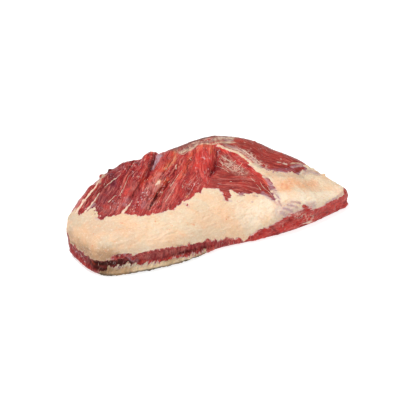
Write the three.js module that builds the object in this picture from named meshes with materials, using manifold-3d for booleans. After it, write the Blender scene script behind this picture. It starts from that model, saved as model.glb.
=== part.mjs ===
// A whole raw beef brisket lying on its flat side, in three pieces: the slab of lean muscle, the sheet
// of fat that wraps its front, its left end and its thin right end, and the pad of fat under its front.
// Millimetres. +X runs along the slab to its thin right end, +Y to its thick back edge, +Z up.
// The origin is under the middle of its box, on the surface that it lies on.

import * as THREE from "three";
import { mergeVertices } from "three/addons/utils/BufferGeometryUtils.js";
import Module from "manifold-3d";

// ---- Driving dimensions ----
const LENGTH = 480; // of the outline, end to end
const WIDTH = 241; // of the outline, front to back
const CREST = 100; // height that the ridge near the back edge rises towards: it comes out at about 96
const COVER_THICKNESS = 7; // of the sheet of fat over the front and the ends
const PAD_FRONT = 14; // thickness of the pad of fat underneath, at its front edge
const PAD_BACK = 6; // and at its back edge
const FOOT_INSET = 5; // how far the flat underside stays inside the outline
const GAP = 0.3; // between neighbouring pieces

// ---- Mesh density ----
const STATIONS_ROUND = 112; // steps round the outline
const RINGS_TOP = 14; // from the rim up to the spine
const RINGS_UNDER = 3; // from the foot in to the spine

// Places in plan are [along, across]: about -100 to 100 from the left end to the right tip, and from
// the front edge to the back one.

// ---- Outline ----
// Stations on the rim, counter-clockwise from the left end. wall is the height of the side, up to the
// lower edge of the fat where there is fat; shoulder is how far in the top takes to round over; waist
// is how deep the side is drawn in under that edge; toe is how far it swells out near the foot; tuck
// is how far the foot is rounded under.
const STATIONS = [
  { name: "left_end", at: [-100, -21], wall: 31, shoulder: 46, waist: 0, toe: 0, tuck: 6 },
  { name: "left_heel", at: [-96, -62], wall: 32, shoulder: 44, waist: 1, toe: 4, tuck: 5 },
  { name: "front_left_corner", at: [-84, -96], wall: 34, shoulder: 44, waist: 11, toe: 0, tuck: 0 },
  { name: "front_left", at: [-60, -100], wall: 37, shoulder: 46, waist: 9, toe: 5, tuck: 0 },
  { name: "front_fold", at: [-31, -96], wall: 34, shoulder: 54, waist: 6, toe: 7, tuck: 0 },
  { name: "front_middle", at: [-5, -85], wall: 23, shoulder: 74, waist: 2, toe: 2, tuck: 0 },
  { name: "front_flank", at: [17, -83], wall: 12, shoulder: 82, waist: 0, toe: 0, tuck: 0 },
  { name: "front_rise", at: [35, -82], wall: 33, shoulder: 58, waist: 0, toe: 0, tuck: 0 },
  { name: "front_right", at: [54, -77], wall: 43, shoulder: 38, waist: 0, toe: 0, tuck: 1 },
  { name: "front_right_end", at: [76, -64], wall: 37, shoulder: 24, waist: 0, toe: 0, tuck: 1 },
  { name: "right_tip", at: [96, -46], wall: 33, shoulder: 26, waist: 0, toe: 3, tuck: 4 },
  { name: "back_tip", at: [95, -24], wall: 26, shoulder: 26, waist: 0, toe: 1, tuck: 6 },
  { name: "back_right", at: [87, 5], wall: 31, shoulder: 28, waist: 1, toe: 0, tuck: 8 },
  { name: "back_right_bend", at: [74, 37], wall: 36, shoulder: 36, waist: 0, toe: 0, tuck: 12 },
  { name: "back_right_slope", at: [56, 69], wall: 44, shoulder: 42, waist: -2, toe: 0, tuck: 16 },
  { name: "back_crest", at: [35, 93], wall: 51, shoulder: 44, waist: 2, toe: 2, tuck: 14 },
  { name: "back_middle", at: [5, 100], wall: 48, shoulder: 44, waist: 0, toe: 0, tuck: 17 },
  { name: "back_left_middle", at: [-27, 93], wall: 44, shoulder: 44, waist: 3, toe: 2, tuck: 13 },
  { name: "back_left", at: [-59, 78], wall: 41, shoulder: 44, waist: -1, toe: 0, tuck: 15 },
  { name: "left_shoulder", at: [-86, 35], wall: 33, shoulder: 44, waist: 2, toe: 0, tuck: 10 },
];
const SPINE = [[-62, -12], [62, -12]]; // the rings of the mesh close in on a line between these

// ---- Heights of the top, away from the rim ----
const SUMMITS = [
  { name: "left_plateau", at: [-66, 0], z: 69 },
  { name: "left_back", at: [-53, 44], z: 79 },
  { name: "front_left_brow", at: [-45, -50], z: 67 },
  { name: "front_middle_brow", at: [-4, -33], z: 65 },
  { name: "middle", at: [-3, 27], z: 79 },
  { name: "marbled_hollow", at: [18, 9], z: 68 },
  { name: "crest", at: [16, 68], z: CREST },
  { name: "right_crest", at: [36, 58], z: 90 },
  { name: "front_right_brow", at: [45, -38], z: 56 },
  { name: "right_back", at: [56, 26], z: 68 },
  { name: "right_end", at: [82, -23], z: 37 },
];

// ---- Muscle bundles of the cut face ----
// Each swells out of the top along a line from its upper end to its lower one. A blunt bundle ends in a
// torn step at its upper end, a plain one tapers away.
const BUNDLES = [
  { name: "left_strip", from: [-73, 44], to: [-88, -8], width: 22, rise: 3 },
  { name: "left_bundle", from: [-58, 58], to: [-88, -30], width: 36, rise: 4 },
  { name: "broad_bundle", from: [-36, 66], to: [-74, -52], width: 60, rise: 6 },
  { name: "crag", from: [-28, 74], to: [-43, 26], width: 38, rise: 10, blunt: true },
  { name: "membrane_bundle", from: [-17, 72], to: [-58, -56], width: 52, rise: 5 },
  { name: "long_bundle", from: [2, 60], to: [-48, -64], width: 58, rise: 6 },
  { name: "bulge", from: [10, 72], to: [-3, -16], width: 42, rise: 8 },
];
const BUNDLE_ROOT = 10; // how deep a bundle's middle lies under the top
const BUNDLE_STEPS = 10;
const BUNDLE_SIDES = 10;

// ---- Clefts between the bundles ----
const CLEFTS = [
  { name: "left_cleft", through: [[-71, 32], [-81, 11], [-90, -5]], width: 5, depth: 3 },
  { name: "streaked_cleft", through: [[-45, 54], [-59, 31], [-74, -3], [-83, -21]], width: 6, depth: 4 },
  { name: "notch_cleft", through: [[-26, 68], [-34, 39], [-44, 10], [-58, -28]], width: 9, depth: 9 },
  { name: "deep_cleft", through: [[-13, 36], [-22, 15], [-35, -13], [-47, -47]], width: 9, depth: 11 },
  { name: "bulge_cleft", through: [[13, 38], [9, 18], [2, -6]], width: 7, depth: 5 },
];
const CLEFT_STEPS = 12;
const CLEFT_MOUTH = 14; // how far a cleft's cutter reaches above the top

// ---- Edges of the fat ----
// Where the sheet of fat covers the top; outside the rim its outline only has to clear the slab.
const COVER_EDGE = [
  [-112, 2], [-91, -1], [-91, -27], [-87, -22], [-82, -12], [-80, -20], [-81, -37], [-79, -48], [-74, -46],
  [-64, -44], [-59, -32], [-60, -48], [-53, -54], [-43, -55], [-31, -53], [-23, -40], [-13, -32], [-5, -19],
  [-2, -25], [6, -31], [7, -43], [11, -42], [14, -34], [20, -43], [31, -44], [37, -56], [41, -66], [40, -53],
  [40, -35], [42, -17], [35, 8], [26, 31], [13, 50], [18, 57], [27, 44], [38, 24], [42, 2], [51, -5],
  [69, -10], [73, 1], [79, 11], [90, 34], [112, 34], [112, -112], [-112, -112],
];
// Where the pad of fat lies underneath: a smooth edge from front to front, that goes in under the slab.
const PAD_EDGE = [[-90, -112], [-87, -76], [-70, -34], [-42, -20], [-22, -44], [-15, -112]];
const PAD_STEPS = 20;
const CLEAR = 12; // how far outside the slab a cutter reaches
const LID = 140; // height of the cutters' upper faces, over the top of the slab

// ---- Loose shreds of the surface, on its skyline and its edges ----
// Each is a small cone that leans the way its tip points: across the plan, and up.
const SHREDS = [
  { name: "dark_tag", at: [-60, 52], tip: [-0.2, 0.5, 1], size: 9 },
  { name: "pale_knob", at: [-68, 44], tip: [-0.4, 0.3, 1], size: 8 },
  { name: "ridge_tag", at: [65, 48], tip: [0.3, 0.5, 1], size: 8 },
  { name: "edge_tag", at: [83, 15], tip: [0.3, 0.4, 1], size: 9 },
  { name: "end_tag", at: [88, 1], tip: [0.4, 0.4, 1], size: 8 },
];
const SHRED_SIDES = 5;

// ---- Slab ----
// A smooth closed curve through the stations, of the three values that pick gives.
function rimCurve(pick) {
  const points = STATIONS.map((s) => new THREE.Vector3(...pick(s)));
  return new THREE.CatmullRomCurve3(points, true, "centripetal");
}
const rimPlan = rimCurve((s) => [...s.at, 0]);
const rimHeights = rimCurve((s) => [s.wall, s.shoulder, 0]);
const rimSwell = rimCurve((s) => [s.waist, s.toe, s.tuck]);

// A place in plan in millimetres: the outline is LENGTH by WIDTH, round the origin.
const outlineBox = new THREE.Box3().setFromPoints(rimPlan.getPoints(STATIONS_ROUND));
function plan([along, across]) {
  const middle = outlineBox.getCenter(new THREE.Vector3());
  const span = outlineBox.getSize(new THREE.Vector3());
  return new THREE.Vector2(((along - middle.x) * LENGTH) / span.x, ((across - middle.y) * WIDTH) / span.y);
}

// One station of the mesh: where the rim is, which way is in, and the side's sizes there. A station of
// the front and the one of the back across from it close in on the same point of the spine.
function meshStation(i) {
  const t = i / STATIONS_ROUND;
  const rim = plan(rimPlan.getPoint(t).toArray());
  const [wall, shoulder] = rimHeights.getPoint(t).toArray();
  const [waist, toe, tuck] = rimSwell.getPoint(t).toArray();
  const [spineLeft, spineRight] = SPINE.map(plan);
  const spine = spineLeft.lerp(spineRight, 1 - Math.abs(1 - 2 * t));
  const inward = spine.clone().sub(rim);
  const reach = inward.length();
  inward.normalize();
  return { rim, inward, reach, wall, shoulder, waist, toe, tuck };
}
const stations = Array.from({ length: STATIONS_ROUND }, (_, i) => meshStation(i));

// A point set in from the rim by a distance, at a height.
function pointIn(station, inset, z) {
  const p = station.inward.clone().multiplyScalar(inset).add(station.rim);
  return new THREE.Vector3(p.x, p.y, z);
}

// Height of the top before the rim rounds it over: the summits' heights, weighted by nearness.
function crownHeight(p) {
  const SPREAD = 30; // distance within which a summit keeps its own height
  const FALL = 1.6;
  let sum = 0;
  let weights = 0;
  for (const summit of SUMMITS) {
    const away = plan(summit.at).distanceToSquared(p);
    const weight = 1 / (away + SPREAD ** 2) ** FALL;
    sum += weight * summit.z;
    weights += weight;
  }
  return sum / weights;
}

// The top at a distance in from the rim. With a depth it is the surface that lies so far under it.
function topPoint(station, inset, depth = 0) {
  const p = pointIn(station, inset, 0);
  const across = Math.min(1, Math.max(0, inset - depth) / (station.shoulder - depth));
  const round = Math.sqrt(1 - (1 - across) ** 2);
  p.z = station.wall + (crownHeight(new THREE.Vector2(p.x, p.y)) - depth - station.wall) * round;
  return p;
}

// Height of the top at a place in plan, on the station whose line passes nearest to it.
function topHeight(p) {
  let nearest = { off: Infinity };
  for (const station of stations) {
    const out = p.clone().sub(station.rim);
    const inset = out.dot(station.inward);
    const off = Math.abs(out.cross(station.inward));
    if (inset >= 0 && inset <= station.reach && off < nearest.off) nearest = { off, inset, station };
  }
  return topPoint(nearest.station, nearest.inset).z;
}

// Insets of the top's rings, from start to the spine, closer together near the rim.
function ringInsets(station, start) {
  const CROWDING = 1.35;
  const share = (r) => (r / RINGS_TOP) ** CROWDING;
  return Array.from({ length: RINGS_TOP + 1 }, (_, r) => start + (station.reach - start) * share(r));
}

// Rings of points, one list for each station, turned into one list for each ring.
const ringsOf = (columns) => columns[0].map((_, r) => columns.map((column) => column[r]));

function slabGeometry() {
  const column = (s) => {
    const foot = FOOT_INSET + s.tuck - s.toe * 0.5;
    const under = Array.from({ length: RINGS_UNDER + 1 }, (_, r) => {
      const share = 1 - r / RINGS_UNDER;
      return pointIn(s, foot + (s.reach - foot) * share, 0);
    });
    const side = [
      pointIn(s, foot * 0.55 - s.toe * 0.4, s.wall * 0.1),
      pointIn(s, s.tuck * 0.25 - s.toe, s.wall * 0.28),
      pointIn(s, s.tuck * 0.05 + s.waist * 0.6 - s.toe * 0.2, s.wall * 0.5),
      pointIn(s, s.waist, s.wall * 0.72),
      pointIn(s, s.waist * 0.35, s.wall * 0.92),
    ];
    return [...under, ...side, ...ringInsets(s, 0).map((inset) => topPoint(s, inset))];
  };
  return loftGeometry(ringsOf(stations.map(column)));
}

// The space that the sheet of fat takes: from so deep under the top to far above it, and down to the
// wall's upper edge, less a drop.
function coverBlankGeometry(depth, drop) {
  const column = (s) => [
    pointIn(s, s.reach, LID),
    pointIn(s, -CLEAR, LID),
    pointIn(s, -CLEAR, s.wall - drop),
    pointIn(s, depth, s.wall - drop),
    ...ringInsets(s, depth).slice(1).map((inset) => topPoint(s, inset, depth)),
  ];
  return loftGeometry(ringsOf(stations.map(column)).reverse());
}

// A closed surface over rings with as many points each, from the lowest ring up. The first and the last
// ring are either folded onto a line or drawn together in a point.
function loftGeometry(rings) {
  const count = rings[0].length;
  const index = [];
  for (let r = 0; r + 1 < rings.length; r++) {
    for (let i = 0; i < count; i++) {
      const [a, b] = [r * count + i, r * count + ((i + 1) % count)];
      index.push(a, b, b + count, a, b + count, a + count);
    }
  }
  const geometry = new THREE.BufferGeometry().setFromPoints(rings.flat());
  geometry.setIndex(index);
  return geometry;
}

// ---- Relief ----
// How thick a bundle is at a share of its length, from its upper end.
function bundleTaper(share, blunt) {
  const TOP_TAPER = 0.25; // shares of the length over which the two ends taper
  const TIP_TAPER = 0.6;
  const fromTop = blunt ? 1 : Math.min(1, share / TOP_TAPER);
  const fromTip = Math.min(1, (1 - share) / TIP_TAPER);
  return Math.sqrt(Math.sin((fromTop * Math.PI) / 2) * Math.sin((fromTip * Math.PI) / 2));
}

// A bundle: oval rings along its line, closed by a point at each end.
function bundleGeometry({ from, to, width, rise, blunt }) {
  const [start, end] = [plan(from), plan(to)];
  const side = end.clone().sub(start).normalize().rotateAround(new THREE.Vector2(), Math.PI / 2);
  const rings = [];
  for (let step = 0; step <= BUNDLE_STEPS; step++) {
    const share = step / BUNDLE_STEPS;
    const closed = step === 0 || step === BUNDLE_STEPS;
    const centre = start.clone().lerp(end, share);
    const z = topHeight(centre) - BUNDLE_ROOT;
    const size = closed && !(step === 0 && blunt) ? 0 : bundleTaper(share, blunt);
    const ring = (scale) =>
      Array.from({ length: BUNDLE_SIDES }, (_, i) => {
        const turn = (2 * Math.PI * i) / BUNDLE_SIDES;
        const out = (Math.cos(turn) * width * size * scale) / 2;
        const up = Math.sin(turn) * (BUNDLE_ROOT + rise) * size * scale;
        return new THREE.Vector3(centre.x + side.x * out, centre.y + side.y * out, z + up);
      });
    if (step === 0 && blunt) rings.push(ring(0));
    rings.push(ring(1));
  }
  return loftGeometry(rings);
}

// A cleft's cutter: a wedge along a smooth line, as deep as it says in the middle and none at its ends.
function cleftGeometry({ through, width, depth }) {
  const curve = new THREE.SplineCurve(through.map(plan));
  const rings = [];
  for (let step = 0; step <= CLEFT_STEPS; step++) {
    const share = step / CLEFT_STEPS;
    const size = Math.sqrt(Math.sin(Math.PI * Math.min(0.98, Math.max(0.02, share))));
    const centre = curve.getPoint(share);
    const tangent = curve.getTangent(share);
    const z = topHeight(centre);
    const corner = (out, up) =>
      new THREE.Vector3(centre.x - tangent.y * out, centre.y + tangent.x * out, z + up);
    const mouth = (width / 2) * size * (1 + CLEFT_MOUTH / depth);
    rings.push([corner(0, -depth * size), corner(mouth, CLEFT_MOUTH), corner(-mouth, CLEFT_MOUTH)]);
  }
  const drawnTogether = (ring) => {
    const middle = ring.reduce((sum, p) => sum.add(p), new THREE.Vector3()).divideScalar(ring.length);
    return ring.map(() => middle);
  };
  return loftGeometry([drawnTogether(rings[0]), ...rings, drawnTogether(rings.at(-1))]);
}

// A shred: a cone whose root is sunk in the top.
function shredGeometry({ at, tip, size }) {
  const SUNK = 0.45; // share of its length that is under the surface
  const root = plan(at);
  const towards = new THREE.Vector3(...tip).normalize();
  const geometry = new THREE.ConeGeometry(size * 0.4, size, SHRED_SIDES);
  geometry.applyQuaternion(new THREE.Quaternion().setFromUnitVectors(new THREE.Vector3(0, 1, 0), towards));
  const centre = towards.multiplyScalar(size * (0.5 - SUNK));
  return geometry.translate(root.x + centre.x, root.y + centre.y, topHeight(root) + centre.z);
}

// ---- Solids ----
const wasm = await Module();
wasm.setup();

function toSolid(geometry) {
  const bare = geometry.clone();
  bare.deleteAttribute("normal");
  bare.deleteAttribute("uv");
  const merged = mergeVertices(bare, 1e-3);
  const corners = merged.index.array;
  const kept = []; // without the triangles that merging has folded to a line
  for (let i = 0; i < corners.length; i += 3) {
    const [a, b, c] = corners.slice(i, i + 3);
    if (a !== b && b !== c && c !== a) kept.push(a, b, c);
  }
  const vertProperties = merged.attributes.position.array;
  return new wasm.Manifold(new wasm.Mesh({ numProp: 3, vertProperties, triVerts: new Uint32Array(kept) }));
}

function toGeometry(solid) {
  const { vertProperties, triVerts } = solid.getMesh();
  const geometry = new THREE.BufferGeometry();
  geometry.setAttribute("position", new THREE.Float32BufferAttribute(vertProperties, 3));
  geometry.setIndex(new THREE.Uint32BufferAttribute(triVerts, 1));
  geometry.computeVertexNormals();
  return geometry;
}

// An outline in plan, each of its sides moved out by a distance.
function grownOutline(points, distance) {
  const LONGEST_MITRE = 4; // how many distances the point of a sharp corner may move
  const turn = Math.sign(THREE.ShapeUtils.area(points));
  const outward = (from, to) => {
    const along = to.clone().sub(from).normalize();
    return new THREE.Vector2(along.y * turn, -along.x * turn);
  };
  return points.map((p, i) => {
    const before = outward(points.at(i - 1), p);
    const after = outward(p, points[(i + 1) % points.length]);
    const mitre = before.clone().add(after).normalize();
    const stretch = Math.min(LONGEST_MITRE, 1 / mitre.dot(before));
    return mitre.multiplyScalar(distance * stretch).add(p);
  });
}

// A prism over an outline, from under the slab up to the height that its top has at each y.
function prismSolid(outline, topAt) {
  const depth = 1;
  const geometry = new THREE.ExtrudeGeometry(new THREE.Shape(outline), { depth, bevelEnabled: false });
  const position = geometry.attributes.position;
  for (let i = 0; i < position.count; i++) {
    const upper = position.getZ(i) > depth / 2;
    position.setZ(i, upper ? topAt(position.getY(i)) : -CLEAR);
  }
  return toSolid(geometry);
}

function coverSpace(growth) {
  const blank = toSolid(coverBlankGeometry(COVER_THICKNESS + growth, growth));
  return blank.intersect(prismSolid(grownOutline(COVER_EDGE.map(plan), growth), () => LID));
}

function padSpace(growth) {
  const edge = new THREE.SplineCurve(PAD_EDGE.map(plan)).getPoints(PAD_STEPS);
  const [front, back] = [-WIDTH / 2, Math.max(...edge.map((p) => p.y))];
  const height = (y) => THREE.MathUtils.mapLinear(y, front, back, PAD_FRONT, PAD_BACK) + growth;
  return prismSolid(grownOutline(edge, growth), height);
}

let slab = toSolid(slabGeometry());
for (const bundle of BUNDLES) slab = slab.add(toSolid(bundleGeometry(bundle)));
for (const cleft of CLEFTS) slab = slab.subtract(toSolid(cleftGeometry(cleft)));
for (const shred of SHREDS) slab = slab.add(toSolid(shredGeometry(shred)));

// ---- Finishes ----
const rawMuscle = new THREE.MeshStandardMaterial({ color: 0x9c3433, roughness: 0.42, metalness: 0 });
const suet = new THREE.MeshStandardMaterial({ color: 0xf0d6b4, roughness: 0.5, metalness: 0 });
const shadedSuet = new THREE.MeshStandardMaterial({ color: 0xd9bd92, roughness: 0.55, metalness: 0 });

// ---- Scene graph ----
function piece(name, solid, material) {
  const mesh = new THREE.Mesh(toGeometry(solid), material);
  mesh.name = name;
  return mesh;
}

const brisket = new THREE.Group();
brisket.add(
  piece("lean", slab.subtract(coverSpace(GAP)).subtract(padSpace(GAP)), rawMuscle),
  piece("fat_cover", slab.intersect(coverSpace(0)), suet),
  piece("fat_under", slab.intersect(padSpace(0)), shadedSuet),
);
const middle = new THREE.Box3().setFromObject(brisket).getCenter(new THREE.Vector3());
brisket.position.set(-middle.x, -middle.y, 0);

export default brisket;
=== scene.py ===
"""A whole raw beef brisket: a slab of slashed lean muscle, the sheet of suet that wraps its front and its
ends, and the darker pad of suet underneath. Lengths are in millimetres until a mesh is made."""

import math

import bmesh
import bpy
import numpy as np
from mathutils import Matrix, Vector, noise
from mathutils.bvhtree import BVHTree
from mathutils.kdtree import KDTree


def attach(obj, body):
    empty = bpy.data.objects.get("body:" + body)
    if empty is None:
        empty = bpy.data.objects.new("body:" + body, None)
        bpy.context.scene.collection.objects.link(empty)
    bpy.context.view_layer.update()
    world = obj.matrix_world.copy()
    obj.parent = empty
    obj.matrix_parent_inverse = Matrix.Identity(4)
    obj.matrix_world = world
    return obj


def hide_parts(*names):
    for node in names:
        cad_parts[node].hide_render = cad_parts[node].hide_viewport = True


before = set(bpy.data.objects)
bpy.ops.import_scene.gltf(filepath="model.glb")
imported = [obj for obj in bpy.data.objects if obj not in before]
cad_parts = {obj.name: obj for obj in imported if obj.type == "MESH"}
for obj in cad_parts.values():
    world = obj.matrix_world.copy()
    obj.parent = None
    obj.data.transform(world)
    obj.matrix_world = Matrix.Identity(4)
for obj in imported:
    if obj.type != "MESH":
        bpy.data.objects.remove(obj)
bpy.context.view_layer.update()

MM = 0.001  # one millimetre, in the scene's metres

# ---- Skin ----
SKIN_STEP = 1.75  # edge of the quads of the skin that everything is made from
GROWTH = 0.45  # how much each solid grows, so that the gaps between them close
SUET_THICKNESS = 6.3  # how deep the lean lies under the sheet, away from the sheet's edges
PAD_SHELL = 6.0  # and under the pad
OVERLAP = 3.0  # how far the suet runs on under the lean's surface, past its visible edge
PAD_SHARPNESS = 0.3  # of the pad's edge, from 0 for one that slopes away to 1 for a lip
SKIN_ROUNDS = 5  # of smoothing, for the skin
FACING_ROUNDS = 12  # and for the way it faces

# ---- Colours ----
TONES = {
    "maroon": "#8c3236",
    "dark_red": "#9c3032",
    "mid_red": "#b23e3c",
    "bright_red": "#cc3f3a",
    "rose_red": "#be2c26",
    "brown_red": "#9e3a33",
    "dry_brown": "#8a4a40",
    "orange": "#dd5a3c",
    "scarlet": "#dc3a30",
    "plum": "#6c2c40",
    "crimson": "#8c161e",
    "deep_red": "#680f14",
    "flesh": "#a4584c",
    "bark": "#3a1206",
    "blackish": "#3c080a",
    "grey_brown": "#a08478",
    "lilac": "#bd9aa4",
    "dusk_lilac": "#9a6a78",
    "pink": "#d48a80",
    "cream": "#e6cdae",
    "peach": "#eaa678",
    "ivory": "#f4e2ca",
    "tan": "#a87a52",
    "olive_brown": "#4a3718",
    "umber": "#6a4a42",
    "greige": "#cdb8a0",
    "fresh_suet": "#e6ceb0",
    "old_suet": "#e0c4a0",
}

# ---- Muscles ----
# Each lies along a line in plan, from its upper end to its lower one, which its grain follows. reach is
# about half its width, flap how high its slashed layers stand, tone its colour, marble how much fat runs
# through it. The fan's grain spreads from a point instead.
MUSCLES = {
    "left_strip": dict(line=((-182, 52), (-224, -8)), reach=8, flap=0.7, tone="mid_red", marble=0.3),
    "left_bundle": dict(line=((-152, 62), (-210, -16)), reach=15, flap=1.2, tone="dark_red", marble=0.4),
    "broad_left": dict(line=((-126, 64), (-186, -28)), reach=14, flap=1.6, tone="maroon", marble=0.25),
    "broad_right": dict(line=((-94, 74), (-160, -40)), reach=17, flap=1.8, tone="dark_red", marble=0.3),
    "membrane_bundle": dict(line=((-44, 86), (-124, -50)), reach=19, flap=1.7, tone="mid_red", marble=0.6),
    "long_bundle": dict(line=((-12, 74), (-98, -60)), reach=21, flap=1.9, tone="mid_red", marble=0.5),
    "bulge": dict(line=((24, 76), (0, 6)), reach=20, flap=0.4, tone="bright_red", marble=0.3),
    "low_bundle": dict(line=((-12, 2), (-62, -62)), reach=17, flap=1.0, tone="mid_red", marble=0.6),
    "fan": dict(line=((22, -6), (84, -30)), reach=24, flap=0.6, tone="brown_red", marble=0.3, fan=(-60, 20)),
    "marbled": dict(line=((46, 42), (68, 6)), reach=15, flap=0.7, tone="flesh", marble=0.6),
    "seam_edge": dict(line=((44, 64), (100, -24)), reach=8, flap=0.5, tone="bright_red", marble=0.2),
    "top_right": dict(line=((78, 84), (188, 14)), reach=26, flap=0.6, tone="brown_red", marble=0.2),
    "ridge": dict(line=((-30, 94), (76, 98)), reach=10, flap=0.7, tone="dry_brown", marble=0.3),
}
SIDES = {  # likewise, for the walls all round
    "right_side": dict(line=((60, -100), (238, -48)), reach=20, flap=0.5, tone="rose_red", marble=0.1),
    "front_band": dict(line=((-190, -118), (40, -108)), reach=20, flap=1.4, tone="dark_red", marble=0.5),
    "left_side": dict(line=((-240, -70), (-236, 20)), reach=20, flap=0.4, tone="dark_red", marble=0.1),
    "back_left": dict(line=((-226, 30), (-60, 112)), reach=20, flap=0.7, tone="maroon", marble=0.15),
    "back_right": dict(line=((-60, 118), (200, 24)), reach=20, flap=0.7, tone="brown_red", marble=0.15),
}
FLAP_WIDTH = 13.0  # across the grain, from one slashed layer to the next
FASCICLE = (4.2, 42.0, 12.0)  # width, length and height of the bundles of fibres in the relief
FAN_RADIUS = 110.0  # where the fan's fibres have their own width
GRAIN_APART = 61.0  # keeps the patterns of neighbouring muscles from matching

# ---- Where one region fades into the next ----
# Two numbers are where it begins and where it ends.
UNDERSIDE_FACING = (-0.85, -0.55)  # how far up the skin faces, from the underside to the walls
WALL_FACING = (0.25, 0.6)  # and from the walls to the top
WALL_HEIGHT = (22, 28)  # below it everything is wall or underside
TOP_HEIGHT = 40  # only what is above it can swell
LEFT_END = -195  # the sheet's edge has fewer streaks from here to the left
RIGHT_WALL = 60  # the fibres of the front wall run along it from here on
FOLD_END = (30, 70)  # the fold of suet that hangs over the front wall fades out along it
SEAM_FOOT = (-4, 24)  # the seam widens into the sheet, across the slab
SEAM_SPAN = (0, 126)  # and lies between these places along it
PAD_LEFT_END = (-208, -196)  # the pad fades in, along the slab
PAD_DEEPENING = (-180, -130)  # and reaches further up the walls, likewise
DRY_BACK = (60, 105)  # the lean dries, across the slab
# The pad's upper edge on the walls: a place along the slab, and its height.
PAD_TOP = ((-205, 10), (-189, 19), (-158, 17), (-143, 15), (-121, 13), (-88, 12), (-60, 11), (-40, 8))
PAD_FOOT = (4.5, 10.5)  # heights over which the pad's dark foot fades out: its colour and painted shade
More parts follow.
